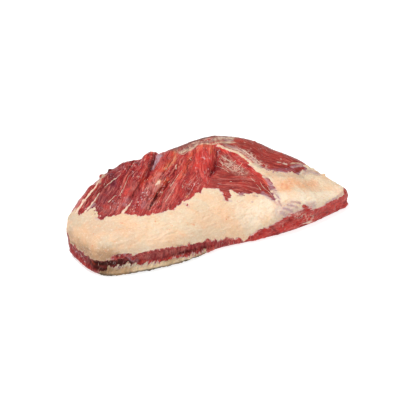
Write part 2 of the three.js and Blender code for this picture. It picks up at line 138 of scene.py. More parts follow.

# ---- Strokes ----
# Soft strokes of colour: tint, half the width, strength, and a line in plan, or in space where the line
# has heights. Later strokes lie over earlier ones.
THIN_STROKE = 7  # half the width below which a stroke's edge is less ragged
LEAN_STROKES = [
    ("plum", 11, 0.65, (-146, 50), (-140, 40), (-153, 26)),
    ("deep_red", 6, 0.75, (-103, 85), (-118, 54), (-130, 38)),
    ("deep_red", 5, 0.65, (-138, 57), (-155, 35), (-170, 22), (-183, 7)),
    ("deep_red", 4, 0.75, (-171, 36), (-186, 15), (-202, -3), (-216, -22)),
    ("pink", 12, 0.3, (-140, -20), (-178, -38)),
    ("bright_red", 7, 0.65, (-89, 69), (-103, 55), (-115, 40)),
    ("scarlet", 3.5, 0.75, (-128, 3), (-133, 1), (-138, -6)),
    ("scarlet", 5, 0.6, (-69, 84), (-84, 57), (-95, 38), (-108, 18)),
    ("plum", 8, 0.35, (-112, -4), (-134, -34)),
    ("orange", 8, 0.5, (-30, 86), (-32, 74), (-44, 56), (-61, 39), (-80, 27), (-98, 20)),
    ("pink", 10, 0.35, (-92, 6), (-112, -38)),
    ("orange", 6, 0.6, (-4, 68), (-17, 43), (-29, 23), (-43, 6)),
    ("deep_red", 2.5, 0.7, (-48, 12), (-74, -22), (-92, -50)),
    # This stroke and the next two: painted shade in the main groove and in the hole at its upper end.
    ("deep_red", 4, 0.6, (-84, -14), (-100, -36), (-110, -50)),
    ("crimson", 4, 0.9, (-43, 42), (-48, 34), (-50, 26)),
    ("deep_red", 1.6, 0.6, (-52, 22), (-66, 10), (-81, -7)),
    # Painted shade in the crease beside the crag.
    ("deep_red", 3.5, 0.8, (-70, 84), (-70, 72), (-78, 58), (-84, 50)),
    ("crimson", 4, 0.6, (-88, 42), (-94, 30)),
    ("peach", 3, 0.55, (-28, 88), (-33, 70), (-38, 58), (-47, 50), (-60, 38)),
    ("orange", 5, 0.4, (-60, 16), (-72, 4)),
    ("pink", 9, 0.6, (-72, 26), (-90, 0)),
    ("pink", 12, 0.2, (-160, 18), (-176, 0)),
    ("pink", 10, 0.2, (-118, 12), (-128, -4)),
    ("pink", 9, 0.5, (-92, -24), (-106, -42)),
    # This stroke and the next: painted highlight along the bulge's upper rim.
    ("peach", 2.5, 0.4, (4, 62), (12, 68), (26, 67)),
    ("peach", 1.8, 0.6, (31, 68), (27, 56), (24, 50)),
    ("deep_red", 2, 0.6, (12, -6), (40, -14), (70, -20)),
    ("deep_red", 1.8, 0.55, (10, -14), (40, -26), (64, -34)),
    ("deep_red", 1.8, 0.55, (24, 2), (56, -2), (86, -8)),
    ("pink", 1.8, 0.5, (20, -4), (50, -10), (82, -16)),
    ("pink", 1.8, 0.45, (30, -20), (60, -30), (82, -38)),
    ("pink", 6, 0.35, (-56, -4), (-86, -48)),
    ("orange", 9, 0.55, (9, 68), (24, 66), (30, 56)),
    ("crimson", 9, 0.85, (41, 52), (37, 38), (29, 27), (17, 16), (7, 9)),
    ("deep_red", 4.5, 0.85, (36, 50), (34, 38), (26, 24), (16, 14)),
    ("crimson", 7, 0.75, (52, 46), (66, 38)),
    ("crimson", 6, 0.65, (74, 30), (82, 16)),
    ("crimson", 6, 0.6, (60, 56), (84, 34)),
    ("crimson", 7, 0.6, (-103, 80), (-124, 48), (-140, 22)),
    ("crimson", 7, 0.55, (-84, 62), (-100, 38), (-112, 20)),
    ("plum", 10, 0.35, (-166, 12), (-180, -14)),
    ("maroon", 12, 0.4, (-118, 50), (-128, 34)),
    ("crimson", 12, 0.7, (-108, 66), (-128, 34)),
    ("pink", 7, 0.4, (-70, 14), (-88, -4)),
    ("orange", 4, 0.55, (-60, 12), (-84, -10), (-96, -26)),
    ("crimson", 6, 0.5, (-78, 10), (-104, -30)),
    ("scarlet", 7, 0.45, (4, 60), (2, 44), (-4, 28)),
    ("dusk_lilac", 4, 0.55, (-136, -16), (-146, -30)),
    ("dusk_lilac", 4, 0.45, (-112, -30), (-120, -42)),
    ("scarlet", 5, 0.75, (46, 60), (70, 44)),
    ("orange", 5, 0.9, (78, 39), (86, 25), (95, 5), (99, -13), (102, -30)),
    ("deep_red", 8, 0.4, (84, 56), (112, 30), (140, 2)),
    ("grey_brown", 8, 0.85, (-22, 80), (-2, 80), (11, 84), (26, 76), (45, 81), (64, 84)),
    ("dry_brown", 7, 0.8, (-25, 86), (-7, 97), (8, 93), (22, 90)),
    ("umber", 6, 0.85, (-22, 94), (0, 97), (20, 96), (46, 92), (62, 95)),
    ("cream", 2.6, 0.8, (13, 74), (28, 68), (40, 71), (54, 71), (74, 70)),
    ("cream", 5, 0.6, (44, 80), (60, 82), (74, 84), (84, 90)),
    ("cream", 4, 0.85, (70, 86), (74, 80), (63, 72)),
    ("cream", 3, 0.7, (-22, 76), (-4, 76), (10, 80)),
    ("lilac", 4, 0.5, (58, 76), (72, 76)),
    ("grey_brown", 5, 0.6, (54, 66), (70, 58), (84, 44), (95, 28), (102, 14), (110, 2)),
    ("lilac", 3.5, 0.35, (58, 64), (76, 52), (90, 34), (100, 16), (110, 3)),
    ("cream", 1.8, 0.6, (56, 62), (74, 52), (86, 38), (96, 20), (102, 6)),
    ("lilac", 4, 0.7, (105, -1), (122, -4), (137, -6), (148, -10), (162, -8), (174, -2)),
    ("dusk_lilac", 4, 0.5, (104, 6), (124, 2), (140, 0), (158, -1)),
    ("lilac", 3.4, 0.75, (156, 6), (164, 9), (174, 12), (189, 18)),
    ("cream", 1.8, 0.7, (158, 14), (170, 17), (182, 18)),
    ("lilac", 6.5, 0.95, (-57, 82), (-63, 72), (-74, 55)),
    ("crimson", 5, 0.7, (-74, 84), (-80, 66), (-90, 50)),
    ("cream", 6, 0.75, (-161, 54), (-172, 43)),
    ("bark", 4.5, 0.9, (-140, 79), (-149, 74)),
    ("lilac", 4, 0.6, (-192, -13), (-202, -24)),
    ("lilac", 3, 0.6, (42, -47), (50, -46)),
    ("lilac", 3, 0.6, (70, -52), (84, -54)),
    ("lilac", 4, 0.6, (104, -26), (107, -38)),
    ("lilac", 3.5, 0.6, (90, -64), (99, -76)),
    ("crimson", 14, 0.65, (-239, -45, 26), (-234, -64, 20), (-226, -80, 18)),
    ("deep_red", 5, 0.6, (-228, -84, 26), (-222, -92, 12)),
    # The bark strokes of the recess under the lip: the dark brown of oxidised meat, and painted shade.
    ("bark", 15, 0.97, (-214, -99, 24), (-206, -106, 18), (-199, -109, 14)),
    ("brown_red", 2, 0.7, (-217, -94, 30), (-206, -104, 20), (-196, -110, 16)),
    ("bark", 9, 0.95, (-200, -107, 22), (-176, -111, 22), (-160, -114, 19)),
    ("brown_red", 4, 0.6, (-216, -95, 24), (-206, -104, 26), (-196, -109, 27)),
    ("brown_red", 3, 0.35, (-212, -101, 20), (-202, -107, 17), (-190, -110, 17)),
    ("orange", 1.8, 0.55, (-216, -92, 24), (-211, -99, 18)),
    ("tan", 1.5, 0.5, (-211, -97, 26), (-207, -103, 20)),
    ("bark", 4, 0.6, (-160, -113, 21), (-140, -114, 20)),
    # Painted shade along the front wall, under the bulge above it.
    ("deep_red", 2.4, 0.75, (-104, -116, 19), (-87, -113, 19), (-69, -111, 18), (-50, -107, 16),
     (-31, -103, 14)),
    ("scarlet", 3.2, 0.65, (-139, -115, 19), (-121, -118, 16), (-101, -118, 15), (-70, -114, 14)),
    ("pink", 7, 0.3, (-140, -115, 27), (-110, -114, 26), (-70, -110, 24)),
    ("lilac", 4, 0.35, (-160, -116, 36), (-153, -116, 28), (-148, -115, 20)),
    ("crimson", 6, 0.65, (-186, -115, 42), (-170, -117, 38), (-160, -113, 28)),
    ("lilac", 2.2, 0.6, (-167, -117, 42), (-159, -112, 27), (-152, -114, 20)),
    ("lilac", 2, 0.6, (-190, -115, 42), (-184, -116, 34)),
    ("ivory", 1.4, 0.6, (-176, -117, 43), (-170, -114, 30)),
    ("deep_red", 2.5, 0.7, (-182, -116, 45), (-176, -117, 36), (-167, -112, 22), (-158, -115, 18)),
    ("deep_red", 4, 0.7, (82, -97, 28), (89, -96, 16), (98, -93, 4)),
    ("crimson", 4, 0.5, (118, -92, 26), (124, -91, 14)),
    ("crimson", 5, 0.45, (150, -88, 30), (175, -80, 18)),
    ("pink", 4, 0.4, (98, -95, 38), (122, -93, 38), (140, -88, 38)),
    ("pink", 12, 0.25, (165, -82, 24), (230, -54, 26)),
    ("scarlet", 12, 0.3, (100, -94, 20), (165, -82, 24), (230, -54, 26)),
    ("pink", 5, 0.35, (90, -95, 24), (112, -93, 30)),
    ("lilac", 4, 0.55, (84, -46), (90, -62), (96, -78)),
    ("lilac", 5, 0.6, (103, -12), (105, -28), (103, -48)),
    ("dusk_lilac", 6, 0.75, (101, -56), (101, -78)),
    ("lilac", 4, 0.55, (176, -3), (186, 10)),
]
KNOTS = [  # spots of fat and fascia left on the lean
    ("orange", 3.4, 0.6, (-30, 48), (-36, 38)),
    ("peach", 5, 0.6, (-76, 12), (-82, 0)),
    ("ivory", 2.6, 0.85, (-77, 10), (-79, 6), (-84, 3)),
    ("pink", 4, 0.7, (-82, 0), (-90, -10)),
    ("orange", 3, 0.7, (-60, 14), (-70, 6)),
    ("pink", 1.6, 0.7, (-31, -14), (-33, -17)),
    ("peach", 1.6, 0.7, (-40, -31), (-43, -35)),
    ("ivory", 1.5, 0.85, (135, 20), (140, 18)),
    ("ivory", 1.7, 0.9, (144, 15), (149, 12)),
    ("ivory", 1.3, 0.8, (144, 28), (145, 27)),
    ("pink", 1.5, 0.8, (97, 52), (98, 51)),
    ("pink", 1.5, 0.8, (106, 73), (110, 70)),
    ("ivory", 4, 0.85, (158, -83, 9), (147, -86, 9)),
]
# Painted shade in the deepest clefts and under the overhang along the front wall; the edges of cut layers
# are lighter, partly their own colour and partly painted highlight.
CLEFTS = [  # crisp lines of painted shade in the deepest clefts, and the edges of cut layers
    ("blackish", 2, 0.95, (-84, -12), (-91, -21), (-99, -32), (-109, -51)),
    ("brown_red", 2.4, 0.8, (-66, 4), (-75, -6), (-84, -14)),
    ("deep_red", 1.2, 0.8, (-68, 0), (-77, -9), (-86, -16)),
    ("crimson", 3, 0.9, (-36, 44), (-45, 34), (-60, 22)),
    ("blackish", 1.4, 0.6, (-42, 38), (-50, 29), (-58, 23)),
    ("deep_red", 3.5, 0.75, (-128, 76), (-117, 66), (-113, 56)),
    ("deep_red", 3.5, 0.7, (-106, 82), (-100, 72), (-98, 62)),
    ("deep_red", 4.5, 0.8, (-124, 84), (-104, 88), (-86, 84)),
    ("crimson", 3, 0.85, (-120, 60), (-132, 44), (-142, 30)),
    ("crimson", 3, 0.85, (-104, 58), (-114, 40), (-126, 22)),
    ("bright_red", 2, 0.7, (-116, 78), (-108, 66), (-106, 56)),
    ("bright_red", 2, 0.7, (-90, 80), (-92, 68), (-98, 54)),
    ("peach", 1, 0.6, (-74, -10), (-84, -24), (-92, -36)),
    ("crimson", 1.6, 0.8, (37, 54), (35, 42), (30, 30), (20, 19)),
    ("blackish", 1.4, 0.6, (-104, 84), (-112, 66), (-120, 54)),
    ("deep_red", 2.2, 0.85, (-98, -115, 18), (-69, -111, 18), (-50, -107, 16), (-31, -103, 14),
     (-20, -102, 12)),
    ("bark", 1.8, 0.8, (-186, -113, 24), (-166, -114, 23), (-152, -114, 19)),
    ("crimson", 1.4, 0.8, (-66, 78), (-74, 64), (-82, 51)),
]
GLINT_STROKES = [  # where glints are painted most strongly on the lean, as strokes without a tint
    (7, 0.7, (-104, -8), (-120, -28), (-134, -44)),
    (6, 0.5, (-60, 20), (-82, -8)),
    (8, 0.45, (-136, 10), (-150, -8), (-160, -26)),
    (7, 0.25, (-100, 62), (-112, 44)),
    (6, 0.3, (20, 64), (10, 44), (2, 30)),
    (6, 0.35, (-24, -6), (-44, -34)),
    (5, 0.5, (-88, -34), (-104, -56)),
    (5, 0.3, (-74, 70), (-90, 46)),
    (6, 0.8, (-232, -60, 22), (-226, -80, 16)),
]
NETS = [  # where a fine net of fat covers the lean, likewise
    (13, 0.5, (48, 36), (54, 22), (66, 4)),
    (7, 0.5, (-22, 82), (11, 86), (45, 84), (76, 86)),
    (8, 0.6, (88, 44), (100, 24), (114, 2)),
    (10, 0.55, (130, -88, 34), (158, -82, 16)),
]
SUET_STROKES = [
    ("peach", 12, 0.6, (130, -47), (133, -33)),
    ("peach", 10, 0.65, (158, -40), (146, -24)),
    ("peach", 18, 0.35, (126, -30), (180, -36)),
    ("peach", 22, 0.25, (-205, -70), (-150, -90)),
    ("peach", 18, 0.22, (-30, -85), (40, -75)),
    ("ivory", 15, 0.55, (-122, -113, 51), (-104, -110, 54)),
    ("ivory", 16, 0.45, (60, -80), (84, -70)),
    ("peach", 14, 0.55, (117, -43), (126, -43)),
    ("peach", 12, 0.5, (176, -26), (186, -22)),
    ("ivory", 15, 0.7, (112, -66), (150, -70), (190, -64), (228, -52)),
    ("ivory", 22, 0.5, (40, -78), (92, -76)),
    # Painted shade: the sheet turns greyer and darker towards its left end.
    ("greige", 60, 0.45, (-236, -20), (-226, -70), (-190, -108)),
    ("grey_brown", 5, 0.5, (192, 2), (204, -2)),
    ("dusk_lilac", 2.4, 0.8, (123, -79), (137, -83)),
    ("dusk_lilac", 2.2, 0.8, (115, -83), (130, -88)),
    ("dusk_lilac", 2.2, 0.75, (106, -87), (120, -92)),
    ("dusk_lilac", 2, 0.6, (100, -91), (110, -95)),
    ("lilac", 12, 0.35, (98, -90), (124, -84)),
    ("ivory", 6, 0.7, (142, -78), (164, -76)),
    ("orange", 2.5, 0.45, (128, -46), (132, -36)),
    ("orange", 2, 0.4, (120, -40), (126, -30)),
    ("orange", 2, 0.35, (104, -62), (107, -70)),
    ("lilac", 4.5, 0.5, (150, -85), (163, -82)),
    ("lilac", 2.6, 0.85, (184, -76, 34), (207, -68, 36), (230, -55, 38)),
    ("ivory", 3, 0.8, (172, -82, 40), (200, -70, 41), (229, -55, 41)),
    ("dusk_lilac", 4, 0.45, (103, -12), (106, -30), (104, -52)),
    ("lilac", 4.5, 0.4, (106, -20), (108, -40), (105, -70)),
    ("dusk_lilac", 1.7, 0.8, (107, -38), (108, -48)),
    ("dusk_lilac", 1.7, 0.8, (104, -56), (106, -66)),
    ("dusk_lilac", 1.8, 0.85, (103, -72), (104, -82)),
    ("pink", 1.6, 0.8, (96, -70), (98, -80)),
    ("pink", 1.5, 0.7, (91, -62), (92, -70)),
    ("dusk_lilac", 1.5, 0.7, (64, -54), (72, -56)),
    ("dusk_lilac", 1.6, 0.7, (40, -48), (48, -50)),
    ("lilac", 2.2, 0.6, (-100, -63), (-84, -62)),
    ("lilac", 5, 0.55, (176, -2), (190, 6), (206, 1)),
    ("grey_brown", 4, 0.5, (180, 4), (196, 8), (204, 4)),
    ("grey_brown", 8, 0.45, (112, -6), (140, -12), (166, -10)),
    ("grey_brown", 7, 0.55, (50, 68), (70, 56), (88, 38), (98, 14)),
    ("lilac", 4, 0.6, (86, -56), (100, -78)),
    ("lilac", 3, 0.55, (-196, -50), (-188, -57)),
    ("lilac", 3, 0.5, (-52, -52), (-46, -60)),
    ("lilac", 3, 0.5, (16, -52), (26, -56)),
    ("lilac", 3.5, 0.6, (-188, -117, 42), (-173, -119, 42), (-147, -120, 38), (-130, -119, 36)),
    # Painted shade where the sheet's lower left edge turns under.
    ("tan", 22, 0.75, (-238, -50, 32), (-226, -86, 36), (-210, -106, 38), (-194, -116, 39)),
    # Darker lines along the folds of that edge: painted shade.
    ("umber", 2.5, 0.45, (-237, -53, 34), (-231, -70, 37), (-223, -88, 39), (-213, -103, 41),
     (-204, -111, 41)),
    ("umber", 3, 0.8, (-82, -114, 37), (-74, -112, 33)),
    ("umber", 2.5, 0.8, (-68, -111, 31), (-58, -110, 30)),
    # Darker lines along the folds of that edge: painted shade.
    ("umber", 2.2, 0.35, (-229, -75, 39), (-219, -92, 45), (-209, -105, 46), (-201, -112, 44)),
    ("ivory", 2, 0.6, (-238, -52, 30), (-229, -76, 33), (-213, -100, 33)),
    # Painted shade, faint, over the sheet's left end.
    ("tan", 50, 0.12, (-230, -10, 50), (-225, -70, 50)),
    ("tan", 5, 0.45, (-190, -117, 42), (-176, -118, 46)),
    ("ivory", 4, 0.6, (-140, -119, 42), (-118, -118, 42)),
]
PAD_STROKES = [
    ("bark", 9, 0.85, (-210, -104, 12), (-200, -110, 6)),
    ("tan", 9, 0.6, (-200, -111, 10), (-160, -116, 8)),
    ("ivory", 5, 0.85, (-186, -113, 19), (-160, -115, 17), (-130, -116, 14), (-100, -115, 11),
     (-60, -108, 8)),
]

# ---- Strands ----
# Strips of fascia that lie on the lean: half the width, and a line in plan from the thin end.
STRANDS = [
    (3.2, (-171, 42), (-185, 29), (-202, 9), (-216, -10), (-223, -20)),
    (2.2, (-176, 14), (-185, 1), (-195, -12), (-204, -24), (-210, -29)),
    (3, (-134, -26), (-144, -38), (-153, -49)),
    (0.8, (-153, -3), (-161, -8), (-168, -15)),
    (1.6, (-37, 44), (-40, 40), (-42, 34)),
    (0.5, (-76, 10), (-80, 6), (-81, 1)),
    (0.9, (-136, 46), (-149, 36), (-160, 28)),
    (0.5, (-150, 34), (-158, 29), (-166, 23)),
    (0.45, (-122, 34), (-134, 14), (-147, -6)),
    (0.4, (-34, 24), (-48, 8), (-62, -8)),
    (0.35, (-50, -4), (-66, -24), (-80, -40)),
    (0.6, (-6, 58), (-13, 52), (-10, 46)),
    (0.5, (-10, 73), (-17, 69), (-22, 72)),
    (0.8, (72, 62), (84, 48), (94, 34)),
    (0.4, (90, 42), (98, 30), (106, 16)),
    (0.5, (108, 8), (120, 0), (134, -5)),
    (0.5, (156, 4), (166, 8), (178, 12)),
    (0.5, (38, 50), (48, 41), (57, 30)),
    (0.5, (34, 38), (44, 28), (52, 17)),
    (0.4, (28, 30), (38, 21), (44, 10)),
    (0.5, (40, 19), (52, 26), (64, 34)),
    (0.4, (52, 9), (62, 16), (74, 26)),
    (0.35, (36, 44), (40, 35), (39, 27)),
    (0.35, (57, 34), (59, 24), (56, 14)),
    (0.35, (76, -8), (77, -16), (80, -22)),
    (0.35, (80, -26), (83, -36), (84, -42)),
    (0.4, (89, -20), (90, -32), (92, -40)),
    (0.35, (93, -40), (96, -48), (97, -58)),
    (0.35, (98, -30), (99, -40), (101, -46)),
]

# ---- Folds ----
# Creases where one layer of muscle laps over another: depth, half the width, height of the lip on the
# line's left, and the line in plan.
FOLDS = [
    (2.2, 1.5, 0.7, (-26, 49), (-34, 40), (-48, 25), (-72, 1), (-86, -14), (-99, -32), (-110, -50)),
    (1, 1.5, -1, (-66, 80), (-72, 66), (-80, 52), (-91, 38), (-103, 20), (-120, -2), (-139, -28)),
    (1.4, 1.5, 0.8, (-103, 85), (-118, 54), (-132, 34), (-146, 10)),
    (1.6, 1.5, 0.8, (-168, 40), (-184, 17), (-200, -2), (-214, -20)),
    (1.2, 1.4, 0.6, (-140, 58), (-156, 35), (-171, 20), (-188, -4)),
    (1.1, 1.4, 0.7, (-112, 46), (-130, 22), (-150, -12)),
    (1, 1.4, 0.6, (-8, 52), (-22, 30), (-40, 4), (-60, -24)),
    (1.1, 1.4, 0.6, (-40, 62), (-58, 36), (-82, 8), (-100, -18)),
    (1, 1.6, 0.8, (38, 56), (33, 40), (22, 20), (8, 2)),
    (0.9, 1.4, 0.5, (-30, 18), (-58, -18), (-80, -48)),
    (0.9, 1.4, 0.5, (0, 70), (-6, 46), (-16, 26)),
]

# Torn shreds and lumps of the surface: height, radius and place.
SHREDS = [
    (4, 3.2, -71, 82, 87),
    (2.5, 6, -84, 78, 85),
    (3.4, 13, -122, 80, 74),
    (4.5, 3.6, -146, 77, 69),
    (3, 14, -104, 91, 69),
    (2.2, 2.2, -148, 62, 77),
    (3.6, 4.5, -164, 58, 73),
    (2.4, 2.2, 153, 47, 65),
    (2, 3, 112, 73, 81),
    (2.4, 2.4, 190, 17, 49),
    (3, 2.8, 199, 13, 45),
    (2.4, 2.2, 216, 2, 36),
    (2, 3, 5, 88, 89),
]

# Where a cleft is partly filled by the bundle beside it: height, half the width, and the line in plan.
SWELLINGS = [
    (4, 5, (-36, 38), (-46, 27), (-60, 12), (-72, 2)),
    (1, 4, (-72, 2), (-84, -16)),
    (2.5, 7, (-88, 44), (-102, 20), (-116, 0)),
]

# Where fat runs on over the lean, or where lean shows through the fat: how far past its edge, half the
# width, and a line.
TONGUES = [
    (-10, 8, (-194, -12), (-207, -21)),
    (-9, 6, (-152, -36), (-145, -46)),
    (-9, 6, (-139, -33), (-135, -46)),
    (-5, 6, (-241, -26, 36), (-241, -42, 31)),
    (-5, 6, (104, -18), (107, -38)),
    (5, 6, (180, 16), (190, 19)),
    (-5, 8, (238, -44, 38), (234, -56, 37)),
    (5, 6, (-8, -24), (10, -30)),
    (5, 4, (34, -42), (32, -36)),
    (-7, 3.5, (20, -44), (20, -54)),
    (-4, 5, (-48, -54), (-46, -60)),
    (-2, 4, (-192, -50), (-188, -56)),
    (-8, 5, (143, -86, 46), (151, -87, 38), (153, -86, 28)),
    (4, 3, (101, -70), (104, -80)),
    (-8, 7, (-184, -117, 38), (-160, -119, 38)),
    (-3, 6, (-140, -119, 36), (-90, -118, 34)),
    (2, 5, (-212, -107, 33), (-198, -114, 34)),
    (4, 7, (164, -84, 37), (184, -77, 37)),
    (6, 5, (170, -7), (178, 2)),
    (-9, 9, (50, -98, 8), (68, -97, 18)),
]

# The seam of suet up to the crest keeps to this line, and widens where it meets the sheet.
SEAM = ((34, 71), (46, 63.5), (57, 56), (71, 48), (82, 33), (91, 16), (97, 0))
SEAM_HALF_WIDTH = 2.0


# ---- Numbers on many points at once ----
ROUGHENING = (1.0, 2.1, 2)  # of the noise: how each octave weakens, how much finer it is, how many


def smoothstep(low, high, value):
    share = np.clip((value - low) / (high - low), 0, 1)
    return share * share * (3 - 2 * share)


def pattern(points, size, seed):
    """Noise of about -1 to 1 at each point, its patches of that size: one number, or one for each way."""
    shift = Vector((seed * 17.3, seed * 5.7, seed * 11.1))
    scaled = points / np.array(size, float)
    return np.array([noise.fractal(shift + Vector(p), *ROUGHENING) for p in scaled.tolist()])


def line_distance(points, line):
    """Distance from each point to a line of two or more points, in plan or in space as the line is."""
    corners = np.array(line, float)
    flat = points[:, : corners.shape[1]]
    nearest = np.full(len(points), np.inf)
    for a, b in zip(corners[:-1], corners[1:]):
        way = b - a
        share = np.clip((flat - a) @ way / (way @ way), 0, 1)
        nearest = np.minimum(nearest, np.linalg.norm(flat - a - share[:, None] * way, axis=1))
    return nearest


def line_side(points, line):
    """Which side of a line in plan each point is on: 1 on its left, -1 on its right."""
    corners = np.array(line, float)
    nearest, side = np.full(len(points), np.inf), np.zeros(len(points))
    for a, b in zip(corners[:-1], corners[1:]):
        away = line_distance(points, (a, b))
        out = points[:, :2] - a
        turn = np.sign((b - a)[0] * out[:, 1] - (b - a)[1] * out[:, 0])
        side = np.where(away < nearest, turn, side)
        nearest = np.minimum(nearest, away)
    return side


def stroke_share(points, radius, line, ragged):
    """From 0 off a stroke to 1 on it, its edge pushed about by ragged millimetres."""
    away = line_distance(points, line) + ragged * min(1.0, radius / THIN_STROKE)
    return 1 - smoothstep(0.3, 1.15, away / radius)


def linear(hex_code):
    """An sRGB colour such as #a0b0c0 as linear red, green and blue."""
    channels = [int(hex_code[i : i + 2], 16) / 255 for i in (1, 3, 5)]
    return np.array([c / 12.92 if c <= 0.04045 else ((c + 0.055) / 1.055) ** 2.4 for c in channels])


# ---- Objects ----
def new_object(name, data):
    made = bpy.data.objects.new(name, data)
    bpy.context.scene.collection.objects.link(made)
    return made


def mesh_made_by(blank):
    """What an object's modifiers make of it, as a plain mesh; the object itself goes."""
    mesh = bpy.data.meshes.new_from_object(blank.evaluated_get(bpy.context.evaluated_depsgraph_get()))
    bpy.data.objects.remove(blank)
    return mesh


def new_piece(name, mesh):
    """A mesh as a piece that rides on the body."""
    piece = new_object(name, mesh)
    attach(piece, "root")
    return piece


# ---- Meshes as arrays ----
def merged_solid(node):
    """A CAD node as a bmesh in metres, without the doubles along its triangles' edges."""
    solid = bmesh.new()
    solid.from_mesh(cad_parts[node].data)
    bmesh.ops.remove_doubles(solid, verts=solid.verts, dist=1e-6)
    solid.normal_update()
    return solid


def fused_skin():
    """One skin of even quads round the three solids together."""
    together = bpy.data.meshes.new("grown_solids")
    grown = bmesh.new()
    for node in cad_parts:
        solid = merged_solid(node)
        for corner in solid.verts:
            corner.co += corner.normal * GROWTH * MM
        solid.to_mesh(together)
        grown.from_mesh(together)
        solid.free()
    grown.to_mesh(together)
    grown.free()
    blank = new_object("skin_blank", together)
    voxels = blank.modifiers.new("voxels", "REMESH")
    voxels.mode = "VOXEL"
    voxels.voxel_size = SKIN_STEP * MM
    return mesh_made_by(blank)


def largest_shell(mesh):
    """Corners in millimetres and quads of the largest connected part of a mesh of quads."""
    quads = np.empty(len(mesh.loops), int)
    mesh.loops.foreach_get("vertex_index", quads)
    quads = quads.reshape(-1, 4)
    corners = np.empty(len(mesh.vertices) * 3)
    mesh.vertices.foreach_get("co", corners)
    corners = corners.reshape(-1, 3) / MM
    label = np.arange(len(corners))
    while True:  # the lowest number of its shell spreads to every corner
        lowest = label[quads].min(1)
        spread = label.copy()
        np.minimum.at(spread, quads.ravel(), np.repeat(lowest, 4))
        spread = spread[spread]
        if (spread == label).all():
            break
        label = spread
    kept = label == np.bincount(label).argmax()
    number = np.cumsum(kept) - 1
    return corners[kept], number[quads[kept[quads[:, 0]]]]


def edges_of(quads):
    """Each edge of the quads once, as the numbers of its two corners."""
    pairs = np.concatenate([quads[:, [i, (i + 1) % 4]] for i in range(4)])
    return np.unique(np.sort(pairs, axis=1), axis=0)


def spread_over(edges, values, rounds):
    """Each corner's value drawn half of the way towards its neighbours', so many rounds over."""
    values = np.array(values, float)
    ways = np.concatenate([edges, edges[:, ::-1]])
    count = np.bincount(ways[:, 0], minlength=len(values))
    columns = values.reshape(len(values), -1)
    for _ in range(rounds):
        around = [np.bincount(ways[:, 0], column[ways[:, 1]], len(values)) / count for column in columns.T]
        columns = columns + 0.5 * (np.stack(around, 1) - columns)
    return columns.reshape(values.shape)


def normals_of(corners, quads):
    """The way that the surface faces at each corner."""
    a, b, c, d = (corners[quads[:, i]] for i in range(4))
    facing = np.cross(c - a, d - b)
    total = np.stack(
        [np.bincount(quads.ravel(), np.repeat(facing[:, i], 4), len(corners)) for i in range(3)], 1
    )
    return total / np.linalg.norm(total, axis=1)[:, None]


def distance_to(node, points):
    """Distance from each point to a CAD node's surface."""
    solid = merged_solid(node)
    tree = BVHTree.FromBMesh(solid)
    solid.free()
    return np.array([tree.find_nearest(Vector(p) * MM)[3] for p in points.tolist()]) / MM


def rim_distance(inside, corners, edges):
    """How far each corner is from the line where inside changes sign, positive where inside is, and the
    number of a corner at that line's nearest place."""
    a, b = edges.T
    crossed = inside[a] * inside[b] < 0
    a, b = a[crossed], b[crossed]
    share = inside[a] / (inside[a] - inside[b])
    rim = corners[a] + share[:, None] * (corners[b] - corners[a])
    tree = KDTree(len(rim))
    for i, place in enumerate(rim.tolist()):
        tree.insert(place, i)
    tree.balance()
    found = [tree.find(p) for p in corners.tolist()]
    nearest = np.array([f[1] for f in found])
    return np.array([f[2] for f in found]) * np.sign(inside), a[nearest]


def skin_piece(name, corners, faces, values, material, node):
    """A piece in the place of a CAD node: values are numbers, vectors or colours for each corner."""
    mesh = bpy.data.meshes.new(name)
    mesh.from_pydata((corners * MM).tolist(), [], faces.tolist())
    mesh.polygons.foreach_set("use_smooth", np.ones(len(mesh.polygons), bool))
    for key, value in values.items():
        if value.ndim == 1:
            mesh.attributes.new(key, "FLOAT", "POINT").data.foreach_set("value", value.astype(np.float32))
        else:
            vectors = mesh.attributes.new(key, "FLOAT_VECTOR", "POINT").data
            vectors.foreach_set("vector", value.astype(np.float32).ravel())
    mesh.materials.append(material)
    piece = new_piece(name, mesh)
    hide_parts(node)
    return piece


# ---- Skin of the whole brisket ----
skin, quads = largest_shell(fused_skin())
edges = edges_of(quads)
skin = spread_over(edges, skin, SKIN_ROUNDS)
facing = normals_of(skin, quads)
skin -= GROWTH * facing
for height, radius, *place in SHREDS:
    away = np.linalg.norm(skin - place, axis=1)
    skin += (height * np.exp(-((away / radius) ** 2)))[:, None] * facing
for height, radius, *line in SWELLINGS:
    near = np.exp(-((line_distance(skin, line) / radius) ** 2)) * (skin[:, 2] > TOP_HEIGHT)
    skin += (height * near)[:, None] * facing
skin[:, 2] = np.maximum(skin[:, 2], 0)
broad_facing = spread_over(edges, facing, FACING_ROUNDS)
broad_facing /= np.linalg.norm(broad_facing, axis=1)[:, None]

# How much of each corner is underside or wall; what is left is top.
underneath = 1 - smoothstep(*UNDERSIDE_FACING, broad_facing[:, 2])
low_down = 1 - smoothstep(*WALL_HEIGHT, skin[:, 2])
on_side = np.maximum(1 - smoothstep(*WALL_FACING, broad_facing[:, 2]), low_down) * (1 - underneath)


# ---- Grain ----
def round_the_outline(points):
    """How far round the outline each point is: the arc of the outline up to its direction."""
    steps = 240
    turn = np.arctan2(points[:, 1], points[:, 0])
    bins = ((turn + math.pi) / (2 * math.pi) * steps).astype(int) % steps
    reach = np.zeros(steps)
    np.maximum.at(reach, bins, np.linalg.norm(points[:, :2], axis=1))
    angles = (np.arange(steps + 1) + 0.5) / steps * 2 * math.pi - math.pi
    reach = np.append(reach, reach[0])
    outline = np.stack([reach * np.cos(angles), reach * np.sin(angles)], 1)
    arc = np.concatenate([[0], np.cumsum(np.linalg.norm(np.diff(outline, axis=0), axis=1))])
    return np.interp(turn, angles, arc)


def muscle_shares(points, muscles):
    """How much of each point belongs to each muscle, by nearness."""
    nearness = np.stack([(line_distance(points, m["line"]) / m["reach"] + 0.3) ** -5
                         for m in muscles.values()])
    return nearness / nearness.sum(0)


